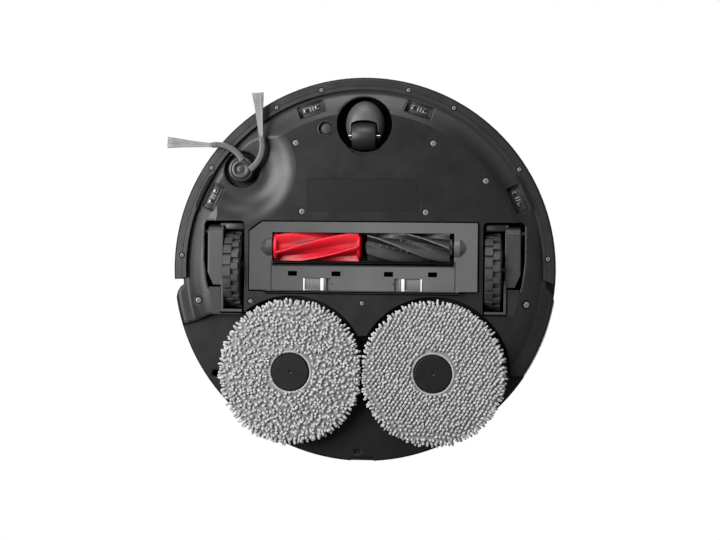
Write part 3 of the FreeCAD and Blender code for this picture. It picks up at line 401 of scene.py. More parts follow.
def new_piece(name, build, material, body, smooth=True, crease=25, replaces=()):
    """A piece from a bmesh that build fills, riding on a CAD body. Its one material slot holds its material.
    Edges past the crease degrees stay sharp."""
    bm = bmesh.new()
    build(bm)
    bmesh.ops.recalc_face_normals(bm, faces=bm.faces)
    data = bpy.data.meshes.new(name)
    bm.to_mesh(data)
    bm.free()
    data.materials.append(MATERIALS[material])
    for polygon in data.polygons:
        polygon.use_smooth = smooth
    if smooth and crease:
        data.set_sharp_from_angle(angle=math.radians(crease))
    piece = bpy.data.objects.new(name, data)
    bpy.context.scene.collection.objects.link(piece)
    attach(piece, body)
    if replaces:
        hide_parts(*replaces)
    return piece


def skin(bm, rings, closed=False):
    """A wall of faces through rings of vertices; closed joins the last ring to the first."""
    count = len(rings[0])
    for low, high in zip(rings, rings[1:] + rings[:1] if closed else rings[1:]):
        for k in range(count):
            bm.faces.new((low[k], low[(k + 1) % count], high[(k + 1) % count], high[k]))


# ---------------- camera, light and floor


def camera_and_light():
    """The photograph looks straight up at the underside, with the robot's front at the top."""
    target, away = Vector((-0.0026, 0.0009, DECK)), Vector((0.13, 0, -1.5)).normalized()
    distance, roll = 1.508, Matrix.Rotation(math.radians(-0.6), 4, "Z")
    data = bpy.data.cameras.new("camera")
    data.lens, data.sensor_width = 84, 36
    camera = bpy.data.objects.new("camera", data)
    right = Vector((0, -1, 0)).cross(away).normalized()
    axes = Matrix((right, away.cross(right), away)).transposed().to_4x4()
    camera.matrix_world = roll @ Matrix.Translation(target + away * distance) @ axes
    bpy.context.scene.collection.objects.link(camera)
    bpy.context.scene.camera = camera

    world = bpy.data.worlds.new("studio")
    bpy.context.scene.world = world
    world.use_nodes = True
    tree = world.node_tree
    shown, glow = tree.nodes["Background"], tree.nodes.new("ShaderNodeBackground")
    for background, strength in ((shown, 1.0), (glow, 0.13)):
        background.inputs["Color"].default_value = (1, 1, 1, 1)
        background.inputs["Strength"].default_value = strength
    path, mix = tree.nodes.new("ShaderNodeLightPath"), tree.nodes.new("ShaderNodeMixShader")
    tree.links.new(path.outputs["Is Camera Ray"], mix.inputs["Fac"])
    tree.links.new(glow.outputs["Background"], mix.inputs[1])
    tree.links.new(shown.outputs["Background"], mix.inputs[2])
    tree.links.new(mix.outputs["Shader"], tree.nodes["World Output"].inputs["Surface"])

    lights = (
        # name, place, size, power; each looks at the origin
        ("key_below", (-0.92, -0.24, -1.1), 0.8, 28),
        ("fill_below", (0.9, 0.1, -1.1), 0.8, 1.5),
        ("front_below", (-0.15, -1.15, -0.85), 0.8, 11),
        ("key_above", (-0.8, -1.0, 1.4), 0.9, 38),
        ("fill_above", (1.2, 0.7, 1.2), 1.1, 26),
    )
    for name, place, width, power in lights:
        light = bpy.data.lights.new(name, "AREA")
        light.shape, light.size, light.energy = "SQUARE", width, power
        lamp = bpy.data.objects.new(name, light)
        lamp.location = place
        lamp.rotation_euler = (-Vector(place)).to_track_quat("-Z", "Y").to_euler()
        lamp.visible_camera = False
        bpy.context.scene.collection.objects.link(lamp)
    bpy.context.scene.view_settings.view_transform = "Standard"


def floor():
    """A pale floor that is seen from above only, so that the view from below stays open."""
    data = bpy.data.meshes.new("floor")
    half = 6.0
    data.from_pydata([(-half, -half, 0), (half, -half, 0), (half, half, 0), (-half, half, 0)], [], [(0, 1, 2, 3)])
    m = Maker("floor")
    m.colour(m.blend(m.noise(3, 2), grey(140), grey(146)))
    m.set(emission_color=(1, 1, 1, 1), emission_strength=0.5, specular_ior_level=0.1)
    m.rough(m.spread(m.noise(20), 0.6, 0.7))
    clear, mix = m.add("ShaderNodeBsdfTransparent"), m.add("ShaderNodeMixShader")
    m.link(m.add("ShaderNodeNewGeometry").outputs["Backfacing"], mix.inputs["Fac"])
    m.link(m.shader.outputs["BSDF"], mix.inputs[1])
    m.link(clear.outputs["BSDF"], mix.inputs[2])
    m.link(mix.outputs["Shader"], m.tree.nodes["Material Output"].inputs["Surface"])
    data.materials.append(m.material)
    ground = bpy.data.objects.new("floor", data)
    ground.location.z = -0.4 * MM
    ground.visible_shadow = ground.visible_diffuse = ground.visible_glossy = False
    bpy.context.scene.collection.objects.link(ground)


# ---------------- mops


def tuft(bm, layer, foot, lean, length, radius, curl, shade, sides=6):
    """One chenille loop: a plump finger with a round end, from foot towards lean, bending towards curl."""
    lean = lean.normalized()
    side = lean.cross(curl)
    side = side.normalized() if side.length > 1e-6 else lean.orthogonal().normalized()
    loops, spot, heading, last = [], foot.copy(), lean.copy(), 0.0
    for share, plump in ((0, 0.78), (0.35, 0.95), (0.65, 1.06), (0.84, 0.94), (0.96, 0.55)):
        heading = (heading + curl * 0.3 * (share - last)).normalized()
        spot, last = spot + heading * length * (share - last), share
        up = heading.cross(side).normalized()
        right = up.cross(heading).normalized()
        loop = []
        for k in range(sides):
            angle = 2 * math.pi * k / sides
            vert = bm.verts.new(spot + (right * math.cos(angle) + up * math.sin(angle)) * radius * plump)
            # painted shade: each loop darkens towards its root, where the loops crowd together
            vert[layer] = shade * (0.15 + 0.85 * share)
            loop.append(vert)
        loops.append(loop)
    tip = bm.verts.new(spot + heading * length * 0.04)
    tip[layer] = shade
    skin(bm, loops)
    for k in range(sides):
        bm.faces.new((loops[-1][k], loops[-1][(k + 1) % sides], tip))
    bm.faces.new(tuple(reversed(loops[0])))


def mop(side, seed, rows_turn, combed):
    """A round pad covered in chenille tufts that stand in rows. Combed tufts lean along their row."""
    pad, other = f"{side}_mop_pad", centre("left_mop_pad" if side == "right" else "right_mop_pad")
    low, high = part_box(pad)
    middle = (low + high) / 2
    reach = (high.x - low.x) / 2
    rng = random.Random(seed)
    cap, hem = 17.3 * MM, 19.4 * MM
    face = low.z + 3.7 * MM
    seam = (middle.x + other.x) / 2
    flat = middle.xy.to_3d()
    row = Vector((math.cos(rows_turn), math.sin(rows_turn), 0))

    def backing(bm, layer):
        profile = [(cap, high.z), (cap, face + 0.4 * MM), (cap + 0.5 * MM, face - 0.9 * MM),
                   (hem - 0.6 * MM, face - 1.1 * MM), (hem, face - 0.2 * MM), (reach - 4 * MM, face),
                   (reach - 1.5 * MM, face + 1.2 * MM), (reach - 1 * MM, high.z - 1 * MM), (reach - 3 * MM, high.z)]
        turns, rings = 120, []
        for i, (radius, z) in enumerate(profile):
            ring = []
            for k in range(turns):
                angle = 2 * math.pi * k / turns
                vert = bm.verts.new(flat + Vector((radius * math.cos(angle), radius * math.sin(angle), z)))
                # painted shade: the backing under the tufts takes the darkest tone, seen in the gaps between them;
                # the cap side and hem stay lighter
                vert[layer] = 0.35 if i < 4 else 0.0
                ring.append(vert)
            rings.append(ring)
        skin(bm, rings, closed=True)

    def build(bm):
        layer = bm.verts.layers.float.new("shade")
        backing(bm, layer)
        along, apart = (3.3 * MM, 3.15 * MM) if combed else (3.15 * MM, 3.0 * MM)
        count = int(reach / min(along, apart)) + 2
        for j in range(-count, count + 1):
            for i in range(-count, count + 1):
                spot = Vector(((i + 0.5 * (j % 2)) * along, j * apart, 0))
                spot += Vector((rng.gauss(0, 0.22), rng.gauss(0, 0.16 if combed else 0.26), 0)) * MM
                spot.rotate(Matrix.Rotation(rows_turn, 3, "Z"))
                radius = spot.length
                if not hem + 0.5 * MM < radius < reach - 1.8 * MM:
                    continue
                outward = spot.normalized()
                rim = max(0.0, (radius - reach + 8 * MM) / (8 * MM))
                inside = max(0.0, 1 - (radius - hem) / (3 * MM))
                lean = Vector((0, 0, -1)) + outward * (0.1 + 0.9 * rim + 0.35 * inside)
                if combed:
                    lean += row * rng.uniform(0.8, 1.1) * (1 - rim) * (1 - inside)
                lean += Vector((rng.gauss(0, 0.16), rng.gauss(0, 0.16), 0)) * (0.7 if combed else 3.2)
                spot.z = face + rim * 1.3 * MM + 0.5 * MM
                curl = Vector((rng.gauss(0, 0.6), rng.gauss(0, 0.6), 0.5))
                tuft(bm, layer, flat + spot, lean, rng.uniform(3.4, 4.6) * MM * (1 + 0.12 * combed),
                     rng.uniform(1.12, 1.36) * MM, curl, rng.uniform(0.5, 1.0))
        for tier, (inset, drop, fingers) in enumerate(((2.0, 2.6, 104), (3.2, 0.9, 98))):
            for k in range(fingers):
                angle = 2 * math.pi * (k + 0.5 * tier) / fingers + rng.gauss(0, 0.009)
                outward = Vector((math.cos(angle), math.sin(angle), 0))
                foot = flat + outward * (reach - inset * MM)
                foot.z = face + drop * MM
                length = rng.uniform(4.2, 6.4) * MM
                if ((foot + outward * length).x - seam) * (middle.x - seam) < 0:
                    length *= 0.6
                lean = outward + Vector((-outward.y, outward.x, 0)) * rng.gauss(0, 0.2)
                lean.z = rng.uniform(-0.4, -0.1) * tier
                tuft(bm, layer, foot, lean, length, rng.uniform(1.1, 1.3) * MM,
                     Vector((rng.gauss(0, 0.4), rng.gauss(0, 0.4), 0)), rng.uniform(0.6, 1.0))

    piece = new_piece(f"{side}_mop_tufts", build, "mop_chenille", f"{side}_mop", crease=None, replaces=(pad,))


# ---------------- small building blocks


def turned(bm, profile, middle, axis="z", turns=72, squash=1.0):
    """A closed turned form: profile is (radius, height) pairs around middle's axis."""
    loops = []
    for radius, height in profile:
        loop = []
        for k in range(turns):
            angle = 2 * math.pi * k / turns
            a, b = radius * math.cos(angle), radius * math.sin(angle) * squash
            spot = Vector((a, b, height)) if axis == "z" else Vector((height, a, b))
            loop.append(bm.verts.new(middle + spot))
        loops.append(loop)
    skin(bm, loops)
    for loop in (loops[0], loops[-1]):
        bm.faces.new(loop)


def block(bm, low, high, bevel=0.3 * MM, turn=0.0, about=(0, 0)):
    """A block between two corners with rounded edges, turned about a place."""
    low, high = Vector(low), Vector(high)
    spin = Matrix.Rotation(turn, 4, "Z")
    shift = Matrix.Translation(Vector((*about, 0)))
    made = bmesh.ops.create_cube(bm, size=1.0, matrix=shift @ spin @ Matrix.Translation((low + high) / 2)
                                 @ Matrix.Diagonal(Vector((*(high - low), 1))))
    edges = {edge for vert in made["verts"] for edge in vert.link_edges}
    if bevel:
        bmesh.ops.bevel(bm, geom=list(edges), offset=bevel, segments=2, affect="EDGES", profile=0.5)


def prism(bm, outline, low, high):
    """A straight-sided form over an (x, y) outline."""
    bottom = [bm.verts.new((x, y, low)) for x, y in outline]
    top = [bm.verts.new((x, y, high)) for x, y in outline]
    bm.faces.new(bottom)
    bm.faces.new(top)
    count = len(outline)
    for k in range(count):
        bm.faces.new((bottom[k], bottom[(k + 1) % count], top[(k + 1) % count], top[k]))


def sweep(bm, path, half_wide, half_thick, corners=8):
    """A rounded strip along a path of points that lie side by side in plan."""
    loops = []
    for i, spot in enumerate(path):
        ahead = (path[min(i + 1, len(path) - 1)] - path[max(i - 1, 0)]).normalized()
        side = Vector((-ahead.y, ahead.x, 0)).normalized()
        up = ahead.cross(side)
        wide, thick = half_wide(i / (len(path) - 1)), half_thick
        loop = []
        for k in range(corners * 2):
            angle = 2 * math.pi * (k + 0.5) / (corners * 2)
            a, b = math.cos(angle), math.sin(angle)
            a, b = math.copysign(abs(a) ** 0.45, a), math.copysign(abs(b) ** 0.45, b)
            loop.append(bm.verts.new(spot + side * a * wide + up * b * thick))
        loops.append(loop)
    skin(bm, loops)
    bm.faces.new(loops[0])
    bm.faces.new(loops[-1])


def carved(bm_build, cutters):
    """Fills a bmesh with a form that other forms have been cut out of."""
    def made(build):
        bm = bmesh.new()
        build(bm)
        bmesh.ops.recalc_face_normals(bm, faces=bm.faces)
        data = bpy.data.meshes.new("carving")
        bm.to_mesh(data)
        bm.free()
        item = bpy.data.objects.new("carving", data)
        bpy.context.scene.collection.objects.link(item)
        return item

    def build(bm):
        solid, tool = made(bm_build), made(cutters)
        cutting = solid.modifiers.new("cut", "BOOLEAN")
        cutting.operation, cutting.object, cutting.solver = "DIFFERENCE", tool, "EXACT"
        cutting.use_self = True
        shaped = bpy.data.meshes.new_from_object(solid.evaluated_get(bpy.context.evaluated_depsgraph_get()))
        bm.from_mesh(shaped)
        for item in (solid, tool):
            data = item.data
            bpy.data.objects.remove(item)
            bpy.data.meshes.remove(data)
        bpy.data.meshes.remove(shaped)

    return build


# ---------------- rollers


def roller(colour, crest_at, crest_angle, per_metre, tuft_at, tuft_length, tuft_thick, tuft_step,
           tuft_reach, seed):
    """A roller with five swept vanes wound along it, and a row of bristles beside each vane."""
    core, fins = f"{colour}_roller_core", f"{colour}_roller_fins"
    axis, tip = centre(fins), size(fins).z / 2 - 0.3 * MM
    shaft = Vector((0, axis.y, axis.z))
    (low, high), (core_low, core_high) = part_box(fins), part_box(core)
    outer = -1 if axis.x < 0 else 1
    near, edge = (4 * MM, high.x) if outer > 0 else (-4 * MM, low.x)
    valley, share_of_turn = 8.2 * MM, 2 * math.pi / 5
    gentle_side = 1 if colour == "red" else -1
    rng = random.Random(seed)

    def crest(x):
        return math.radians(crest_angle) + per_metre * (x - crest_at)

    def past_crest(x, angle):
        """How far an angle lies on the way from one crest to the next, 0 to 1."""
        return (gentle_side * (angle - crest(x)) / share_of_turn) % 1.0

    def radius(x, angle):
        u = past_crest(x, angle)
        if u < 0.04:
            return tip
        if u < 0.66:
            return valley + (tip - valley) * (0.5 + 0.5 * math.cos(math.pi * ((u - 0.04) / 0.62) ** 0.8))
        if u > 0.95:
            return valley + (tip - valley) * (u - 0.95) / 0.05
        return valley

    def around(x, angle, r):
        return Vector((x, axis.y + r * math.sin(angle), axis.z - r * math.cos(angle)))

    # Painted light on the vanes: 1 is a painted highlight on each crest, the valleys take painted shade, lighter on
    # the red roller away from its front, and the gentle side fades between them.
    def shade(x, angle):
        u = past_crest(x, angle)
        if u < 0.04:
            return 1.0
        pit = 0.4 if colour == "red" and math.sin(angle) > -0.3 else 0.02
        return max(pit, 0.75 - 0.55 * u / 0.66) if u < 0.66 else pit

    def build(bm):
        layer = bm.verts.layers.float.new("shade")
        steps, turns, loops = 90, 240, []
        for i in range(steps + 1):
            x = near + (edge - near) * i / steps
            loop = []
            for k in range(turns):
                angle = 2 * math.pi * k / turns
                vert = bm.verts.new(around(x, angle, radius(x, angle)))
                vert[layer] = shade(x, angle)
                loop.append(vert)
            loops.append(loop)
        skin(bm, loops)
        bm.faces.new(loops[0])
        bm.faces.new(loops[-1])
        far, rim, stub = (core_high if outer > 0 else core_low).x, *((12.4, 11.4) if colour == "red" else (8.2, 5.2))
        collar = ((2, -1), (rim - 0.7, -0.6), (rim, 0.2), (rim, 1.9), (rim - 0.7, 2.6), (6, 2.9), (2, 2.9))
        inner_end = ((2, -2.5), (stub - 2, -2.4), (stub, -1.2), (stub, 1), (2, 1))
        turned(bm, [(r * MM, edge + outer * h * MM) for r, h in collar], shaft, "x")
        turned(bm, [(0.0038, edge), (0.0038, far), (0.001, far)], shaft, "x", 32)
        turned(bm, [(r * MM, near + outer * h * MM) for r, h in inner_end], shaft, "x", 60)
        for vert in bm.verts:
            if vert[layer] == 0:
                vert[layer] = 0.7 if colour == "red" or abs(vert.co.x) > abs(near) + 5 * MM else 0.3

    def bristles(bm):
        layer = bm.verts.layers.float.new("shade")
        for row in range(5):
            x = low.x + 3 * MM
            while x < low.x + tuft_reach:
                angle = crest(x) + (row + tuft_at) * share_of_turn
                if colour == "red" and not -1.25 < math.remainder(angle, 2 * math.pi) < -0.45:
                    x += tuft_step
                    continue
                foot = radius(x, angle) - 0.4 * MM
                for _ in range(3):
                    turn = angle + rng.gauss(0, 0.03)
                    lean = Vector((-0.5 * outer + rng.gauss(0, 0.1), math.sin(turn), -math.cos(turn)))
                    tuft(bm, layer, around(x + rng.gauss(0, 0.4) * MM, turn, foot), lean,
                         tuft_length * rng.uniform(0.85, 1.1), tuft_thick,
                         Vector((rng.gauss(0, 0.2), rng.gauss(0, 0.2), 0)), rng.uniform(0.3, 1.0), 5)
                x += tuft_step

    body = f"{colour}_roller"
    new_piece(f"{colour}_roller_vanes", build, f"roller_{colour}", body, replaces=(core, fins))
    new_piece(f"{colour}_roller_bristles", bristles, "bristle_red" if colour == "red" else "roller_grey", body,
              crease=None)


# ---------------- caster


def caster():
    """A satin visor over a dark barrel wheel, with the ends of its steel axle showing."""
    yoke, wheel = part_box("caster_swivel"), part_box("caster_wheel")
    middle, hub = centre("caster_swivel"), centre("caster_wheel")
    top, low = yoke[1].z - 3 * MM, yoke[0].z
    wide, half = size("caster_swivel").x / 2, size("caster_wheel").x / 2

    def dome(bm):
        profile = [(0.004, top + 4 * MM), (wide - 3 * MM, top + 4 * MM), (wide - 0.6 * MM, top)]
        profile += [((wide - 0.6 * MM) * out, low + up * MM)
                    for out, up in ((1, 15), (0.985, 11), (0.95, 8), (0.88, 5.4), (0.76, 3.1), (0.6, 1.5),
                                    (0.4, 0.6), (0.2, 0.15), (0.01, 0))]
        turned(bm, profile, Vector((middle.x, middle.y, 0)), turns=96)
        for vert in bm.verts:
            vert.co.x = middle.x + (vert.co.x - middle.x) * 0.81

    def opening(bm):
        side, back = half + 1.8 * MM, middle.y + wide + 5 * MM
        front = hub.y - size("caster_wheel").y / 2 - 1.1 * MM
        arc = [(side * math.cos(a), front + 3.2 * MM - 3.6 * MM * math.sin(a))
               for a in (math.pi * k / 12 for k in range(13))]
        prism(bm, arc + [(-side, back), (side, back)], low - 0.01, top + 0.0005)
        for sign in (-1, 1):
            inner, outer = sorted((sign * (side - 1 * MM), sign * (side + 3.6 * MM)))
            block(bm, (inner, hub.y - 3.2 * MM, low - 0.01), (outer, hub.y + 3.4 * MM, hub.z + 2.5 * MM), 0)

    new_piece("caster_visor", carved(dome, opening), "caster_grey", "caster", replaces=("caster_swivel",))

    def barrel(bm, half=half + 0.8 * MM):
        profile = [(0.0015, -half), (hub.z - 3.2 * MM, -half)]
        for i in range(13):
            share = -1 + 2 * i / 12
            profile.append((hub.z - 0.05 * MM - 1.5 * MM * abs(share) ** 2.6, share * (half - 0.4 * MM)))
        profile += [(hub.z - 3.2 * MM, half), (0.0015, half)]
        turned(bm, profile, hub, "x", 96)

    new_piece("caster_barrel", barrel, "caster_roller", "caster_roller", replaces=("caster_wheel",))

    def tips(bm):
        reach = size("caster_axle").x / 2 - 1.8 * MM
        tip = [(0.0012, half), (0.0021, half + 0.2 * MM), (0.0021, half + 0.9 * MM), (0.0015, half + MM),
               (0.0015, reach - 1.2 * MM), (0.0014, reach - 0.4 * MM), (0.0005, reach)]
        turned(bm, [(r, -x) for r, x in reversed(tip)] + tip, hub, "x", 28)

    new_piece("caster_spindle", tips, "axle_steel", "caster", replaces=("caster_axle",))


# ---------------- corner brush


def corner_brush():
    """A ringed hub with two curved arms, each holding a flared bundle of bristles."""
    middle = centre("side_brush_hub").xy
    arms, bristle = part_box("side_brush_arms"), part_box("side_brush_bristles")
    low, high = arms[0].z, arms[1].z
    level = (low + high) / 2
    rng = random.Random(21)

    def hub(bm):
        profile = [(0.0005, 8.4), (0.0034, 8.4), (0.0050, 7.9), (0.0054, 7.1), (0.0064, 6.7), (0.0078, 6.9),
                   (0.0086, 7.8), (0.0089, 8.6), (0.0095, 8.3), (0.0106, 8.7), (0.0114, 9.8), (0.0119, 11.6),
                   (0.0120, 16.0), (0.0068, 16.0), (0.0068, 22.0), (0.0005, 22.0)]
        turned(bm, [(r, z * MM) for r, z in profile], middle.to_3d())

    new_piece("corner_brush_hub", hub, "hub_grey", "side_brush", replaces=("side_brush_hub",))

    def screw(bm):
        def head(bm):
            profile = [(0.0003, 8.6), (0.0034, 8.5), (0.0035, 7.6), (0.0031, 7.2), (0.0025, 7.1), (0.0003, 6.9)]
            turned(bm, [(r, z * MM) for r, z in profile], middle.to_3d(), turns=48)

        def cross(bm):
            for turn in (0.35, 0.35 + math.pi / 2):
                block(bm, (-0.0017, -0.00035, 0.0060), (0.0017, 0.00035, 0.0077), 0, turn, middle)

        carved(head, cross)(bm)

    new_piece("corner_brush_screw", screw, "hub_grey", "side_brush", replaces=("side_brush_screw",))

    apart, swing = math.radians(83), math.radians(-2.6)
    bend, inner = Vector((-0.022, 0.003, 0)), 0.026
    start, turn = math.radians(-25), -math.radians(72)

    def on_bend(share):
        angle = start + turn * share
        return bend + Vector((inner * math.cos(angle), inner * math.sin(angle), 0))

    def placed(spot, second):
        spot = spot.copy()
        spot.rotate(Matrix.Rotation(swing + apart * second, 3, "Z"))
        return spot + middle.to_3d()

    def arm_set(bm):
        for second in (False, True):
            path = [placed(on_bend(i / 20) + Vector((0, 0, level)), second) for i in range(21)]
            sweep(bm, path, lambda t: (2.95 - 0.5 * t) * MM, (high - low) / 2)
            root = on_bend(0.88)
            ahead = (on_bend(0.98) - on_bend(0.86)).normalized()
            sleeve = [placed(root + ahead * s * MM + Vector((0, 0, level)), second) for s in (0, 1.4, 2.8, 4.4)]
            sweep(bm, sleeve, lambda t: (2.75 - 0.3 * t) * MM, (high - low) / 2 + 0.25 * MM)

    new_piece("corner_brush_arms", arm_set, "brush_grey", "side_brush", replaces=("side_brush_arms",))

    def strands(bm):
        layer = bm.verts.layers.float.new("shade")
        root = on_bend(1.0)
        tip = Vector((-0.0655, -0.0265, 0))
        along = (tip - root).normalized()
        across = Vector((-along.y, along.x, 0))
        length = (tip - root).length
        for second in (False, True):
            for i in range(300):
                spread = rng.uniform(-1, 1)
                depth = rng.uniform(-1, 1)
                reach = length * rng.uniform(0.985, 1.0) + 1.0 * MM
                shade = rng.uniform(0.15, 1.0)
                loops = []
                for j in range(9):
                    t = j / 8
                    off = spread * (1.7 + 3.3 * t ** 1.4) * MM + 0.2 * MM * math.sin(6 * t + spread * 9) * t
                    drop = low + (1.5 + 1.0 * depth) * MM - t * (low - 0.6 * MM - (1.4 + depth) * 0.75 * MM)
                    spot = root + along * (reach * t - 1.5 * MM) + across * off
                    spot.z = max(drop, bristle[0].z + 0.1 * MM)
                    wide = 0.25 * MM * (1 - 0.3 * t)
                    loop = []
                    for k in range(4):
                        angle = math.pi / 2 * k
                        vert = bm.verts.new(placed(spot + across * math.cos(angle) * wide
                                                   + Vector((0, 0, math.sin(angle) * wide)), second))
                        vert[layer] = shade
                        loop.append(vert)
                    loops.append(loop)
                skin(bm, loops)
                bm.faces.new(loops[0])
                bm.faces.new(loops[-1])

    new_piece("corner_brush_strands", strands, "pale_bristle", "side_brush", crease=None,
              replaces=("side_brush_bristles",))


# ---------------- wheels


def tyre(side):
    """A tyre with two staggered rows of tread blocks; one row has deep pockets between its blocks."""
    node = f"{side}_tyre"
    middle, radius, half = centre(node), size(node).z / 2, 7.4 * MM
    middle.x -= 0.9 * MM
    base, blocks, inner = radius - 2.9 * MM, 21, radius - 6 * MM

    def build(bm):
        def vert(x, r, angle):
            return bm.verts.new(middle + Vector((x, r * math.cos(angle), r * math.sin(angle))))

        profile = [(inner, -half + 0.4 * MM), (base - 1.5 * MM, -half), (base, -half + 1.0 * MM),
                   (base, half - 1.0 * MM), (base - 1.5 * MM, half), (inner, half - 0.4 * MM)]
        turns = 126
        loops = [[vert(x, r, 2 * math.pi * k / turns) for k in range(turns)] for r, x in profile]
        skin(bm, loops, closed=True)
        pitch = 2 * math.pi / blocks
        for row, (left, right, share) in enumerate(((-half, 0.0, 0.80), (0.0, half - 0.9 * MM, 0.54))):
            for i in range(blocks):
                start = pitch * (i + 0.5 * row) - pitch * share / 2
                corners = []
                for x in (left + (0.1 * MM if row else 0), right - 0.1 * MM):
                    ring = []
                    for r, inset in ((base - 0.4 * MM, 0.0), (radius - 0.35 * MM, 0.0), (radius, 0.25 * MM)):
                        for t in (0.0, 0.25, 0.5, 0.75, 1.0):
                            angle = start + pitch * share * t + (inset / radius) * (1 - 2 * t)
                            shift = inset if x < (left + right) / 2 else -inset
                            ring.append(vert(x + shift, r, angle))
                    corners.append(ring)
                a, b = corners
                for level in range(2):
                    for t in range(4):
                        p, q = level * 5 + t, level * 5 + t + 1
                        bm.faces.new((a[p], a[q], a[q + 5], a[p + 5]))
                        bm.faces.new((b[p], b[q], b[q + 5], b[p + 5]))
                    for p in (level * 5, level * 5 + 4):
                        bm.faces.new((a[p], b[p], b[p + 5], a[p + 5]))
                for t in range(4):
                    bm.faces.new((a[10 + t], a[11 + t], b[11 + t], b[10 + t]))
                    bm.faces.new((a[t], a[t + 1], b[t + 1], b[t]))

    new_piece(f"{side}_tread", build, "tyre_rubber", f"{side}_wheel", smooth=False, replaces=(node,))


# ---------------- sensors and trim


def cliff_sensors():
    """Four recessed windows: a dark frame, a grey plate, two lens wells and two bright light pipes."""
    places = [(math.atan2(x, -y), math.hypot(x, y))
              for x, y in ((-0.1376, -0.0642), (-0.0487, -0.1438), (0.0487, -0.1438), (0.1376, -0.0642))]
    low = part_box("cliff_sensors")[0].z

    def at(angle, radius):
        return (radius * math.sin(angle), -radius * math.cos(angle))

    def slabs(bm, wanted, base, top, bevel, spots=places):
        """Blocks of (x, x, y, y) mm at each sensor, from base to top mm over its lowest point."""
        for angle, radius in spots:
            for x0, x1, y0, y1 in wanted:
                block(bm, (x0 * MM, y0 * MM, low + base * MM), (x1 * MM, y1 * MM, low + top * MM), bevel * MM,
                      angle, at(angle, radius))

    def frame_bars(bm):
        slabs(bm, ((-11.6, 11.6, -5.4, -4.0), (-11.6, 11.6, 3.6, 5.4), (-11.6, -9.0, -5.4, 5.4),
                   (10.2, 11.6, -5.4, 5.4)), -1.2, 3, 0.35)

    def plates(bm):
        slabs(bm, [(-9.1, 10.3, -4.1, 3.7)], -0.2, 1.5, 0.3)

    def wells(bm):
        slabs(bm, [(x - 2.3, x + 2.3, -2.4, 2.2) for x in (-4.9, 5.6)], -0.7, 0.6, 0.6)

    def pipes(bm):
        for angle, radius in places:
            spin = Matrix.Rotation(angle, 3, "Z")
            slabs(bm, [(x - 0.55, x + 0.55, -2.3, 2.0) for x in (-0.9, 1.5)], -1.0, 0.3, 0.25, [(angle, radius)])
            for x, begin in ((-4.9, 0.4), (5.6, -1.2)):
                spot, arc = Vector((*at(angle, radius), 0)) + spin @ Vector((x * MM, -0.1 * MM, 0)), []
                for k in range(10):
                    turn, r = begin + 2.6 * k / 9 + 1.6, 1.45 * MM
                    arc.append(spot + spin @ Vector((r * math.cos(turn), r * math.sin(turn), low - 0.75 * MM)))
                sweep(bm, arc, lambda t: 0.32 * MM, 0.2 * MM, 4)

    new_piece("cliff_frames", frame_bars, "black_plastic", "body")
    new_piece("cliff_plates", plates, "sensor_plate", "body", replaces=("cliff_sensors",))
    new_piece("cliff_wells", wells, "sensor_lens", "body", replaces=("cliff_lenses",))
    new_piece("cliff_light_pipes", pipes, "light_pipe", "body")


def carpet_eye():
    """An ultrasonic eye: a black cup with a paler disc set off-centre in it."""
    low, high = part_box("carpet_sensor")
    middle, reach = (low + high) / 2, (high.x - low.x) / 2

    def cup(bm):
        profile = [(reach + out * MM, DECK + up * MM) for out, up in (
            (-1.3, 3), (-1.0, -0.1), (-0.5, -0.4), (0.1, -0.25), (0.3, 0.05), (-0.2, 5))]
        turned(bm, profile + [(0.002, DECK + up * MM) for up in (5, 3)], middle.xy.to_3d())

    def disc(bm):
        profile = ((0.0003, 0.35), (0.0026, 0.4), (0.0043, 0.75), (0.0049, 1.4), (0.0049, 4), (0.0003, 4))
        turned(bm, [(r, DECK + up * MM) for r, up in profile],
               Vector((middle.x + 0.9 * MM, middle.y + 0.1 * MM, 0)))

    new_piece("carpet_cup", cup, "black_plastic", "body", replaces=("carpet_sensor",))
    new_piece("carpet_disc", disc, "carpet_face", "body")


def latches():
    """Silvery slides: a hollow for the finger between a ridge and a thin rim, with brighter bars of painted
    highlight.
    """
    for side, sign in (("left", 1), ("right", -1)):
        node = f"{side}_cover_latch"
        low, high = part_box(node)
        middle = (low + high) / 2

        def bars(bm, wanted):
            for xa, xb, ya, yb, za, zb in wanted:
                a, b = sorted((sign * xa, sign * xb))
                block(bm, (middle.x + a * MM, middle.y + ya * MM, low.z + za * MM),
                      (middle.x + b * MM, middle.y + yb * MM, low.z + zb * MM), 0.2 * MM)

        def slide(bm):
            hollow = [(-4.8 + 1.35 * i, -3.43 + 1.35 * i, -5.0, 4.3, 2.1 - 0.09 * i, 2.6) for i in range(10)]
            bars(bm, [(-10.4, 10.4, -5.5, 5.5, 2.3, 2.8), (-10.4, -8.2, -5.5, 5.5, 0.9, 2.5),
                      (-8.2, 10.4, 4.3, 5.5, 0.5, 2.4)] + hollow)

        # painted highlight: brighter bars on the ridge and along the rim
        def ridges(bm):
            bars(bm, [(-8.1, -5.2, -5.5, 5.5, 0.05, 2.4), (9.0, 10.4, -5.5, 5.5, 0.2, 2.4)])

        body = f"{side}_latch"
        new_piece(f"{side}_latch_slide", slide, "latch_silver", body, replaces=(node,))
        new_piece(f"{side}_latch_ridges", ridges, "latch_bright", body)


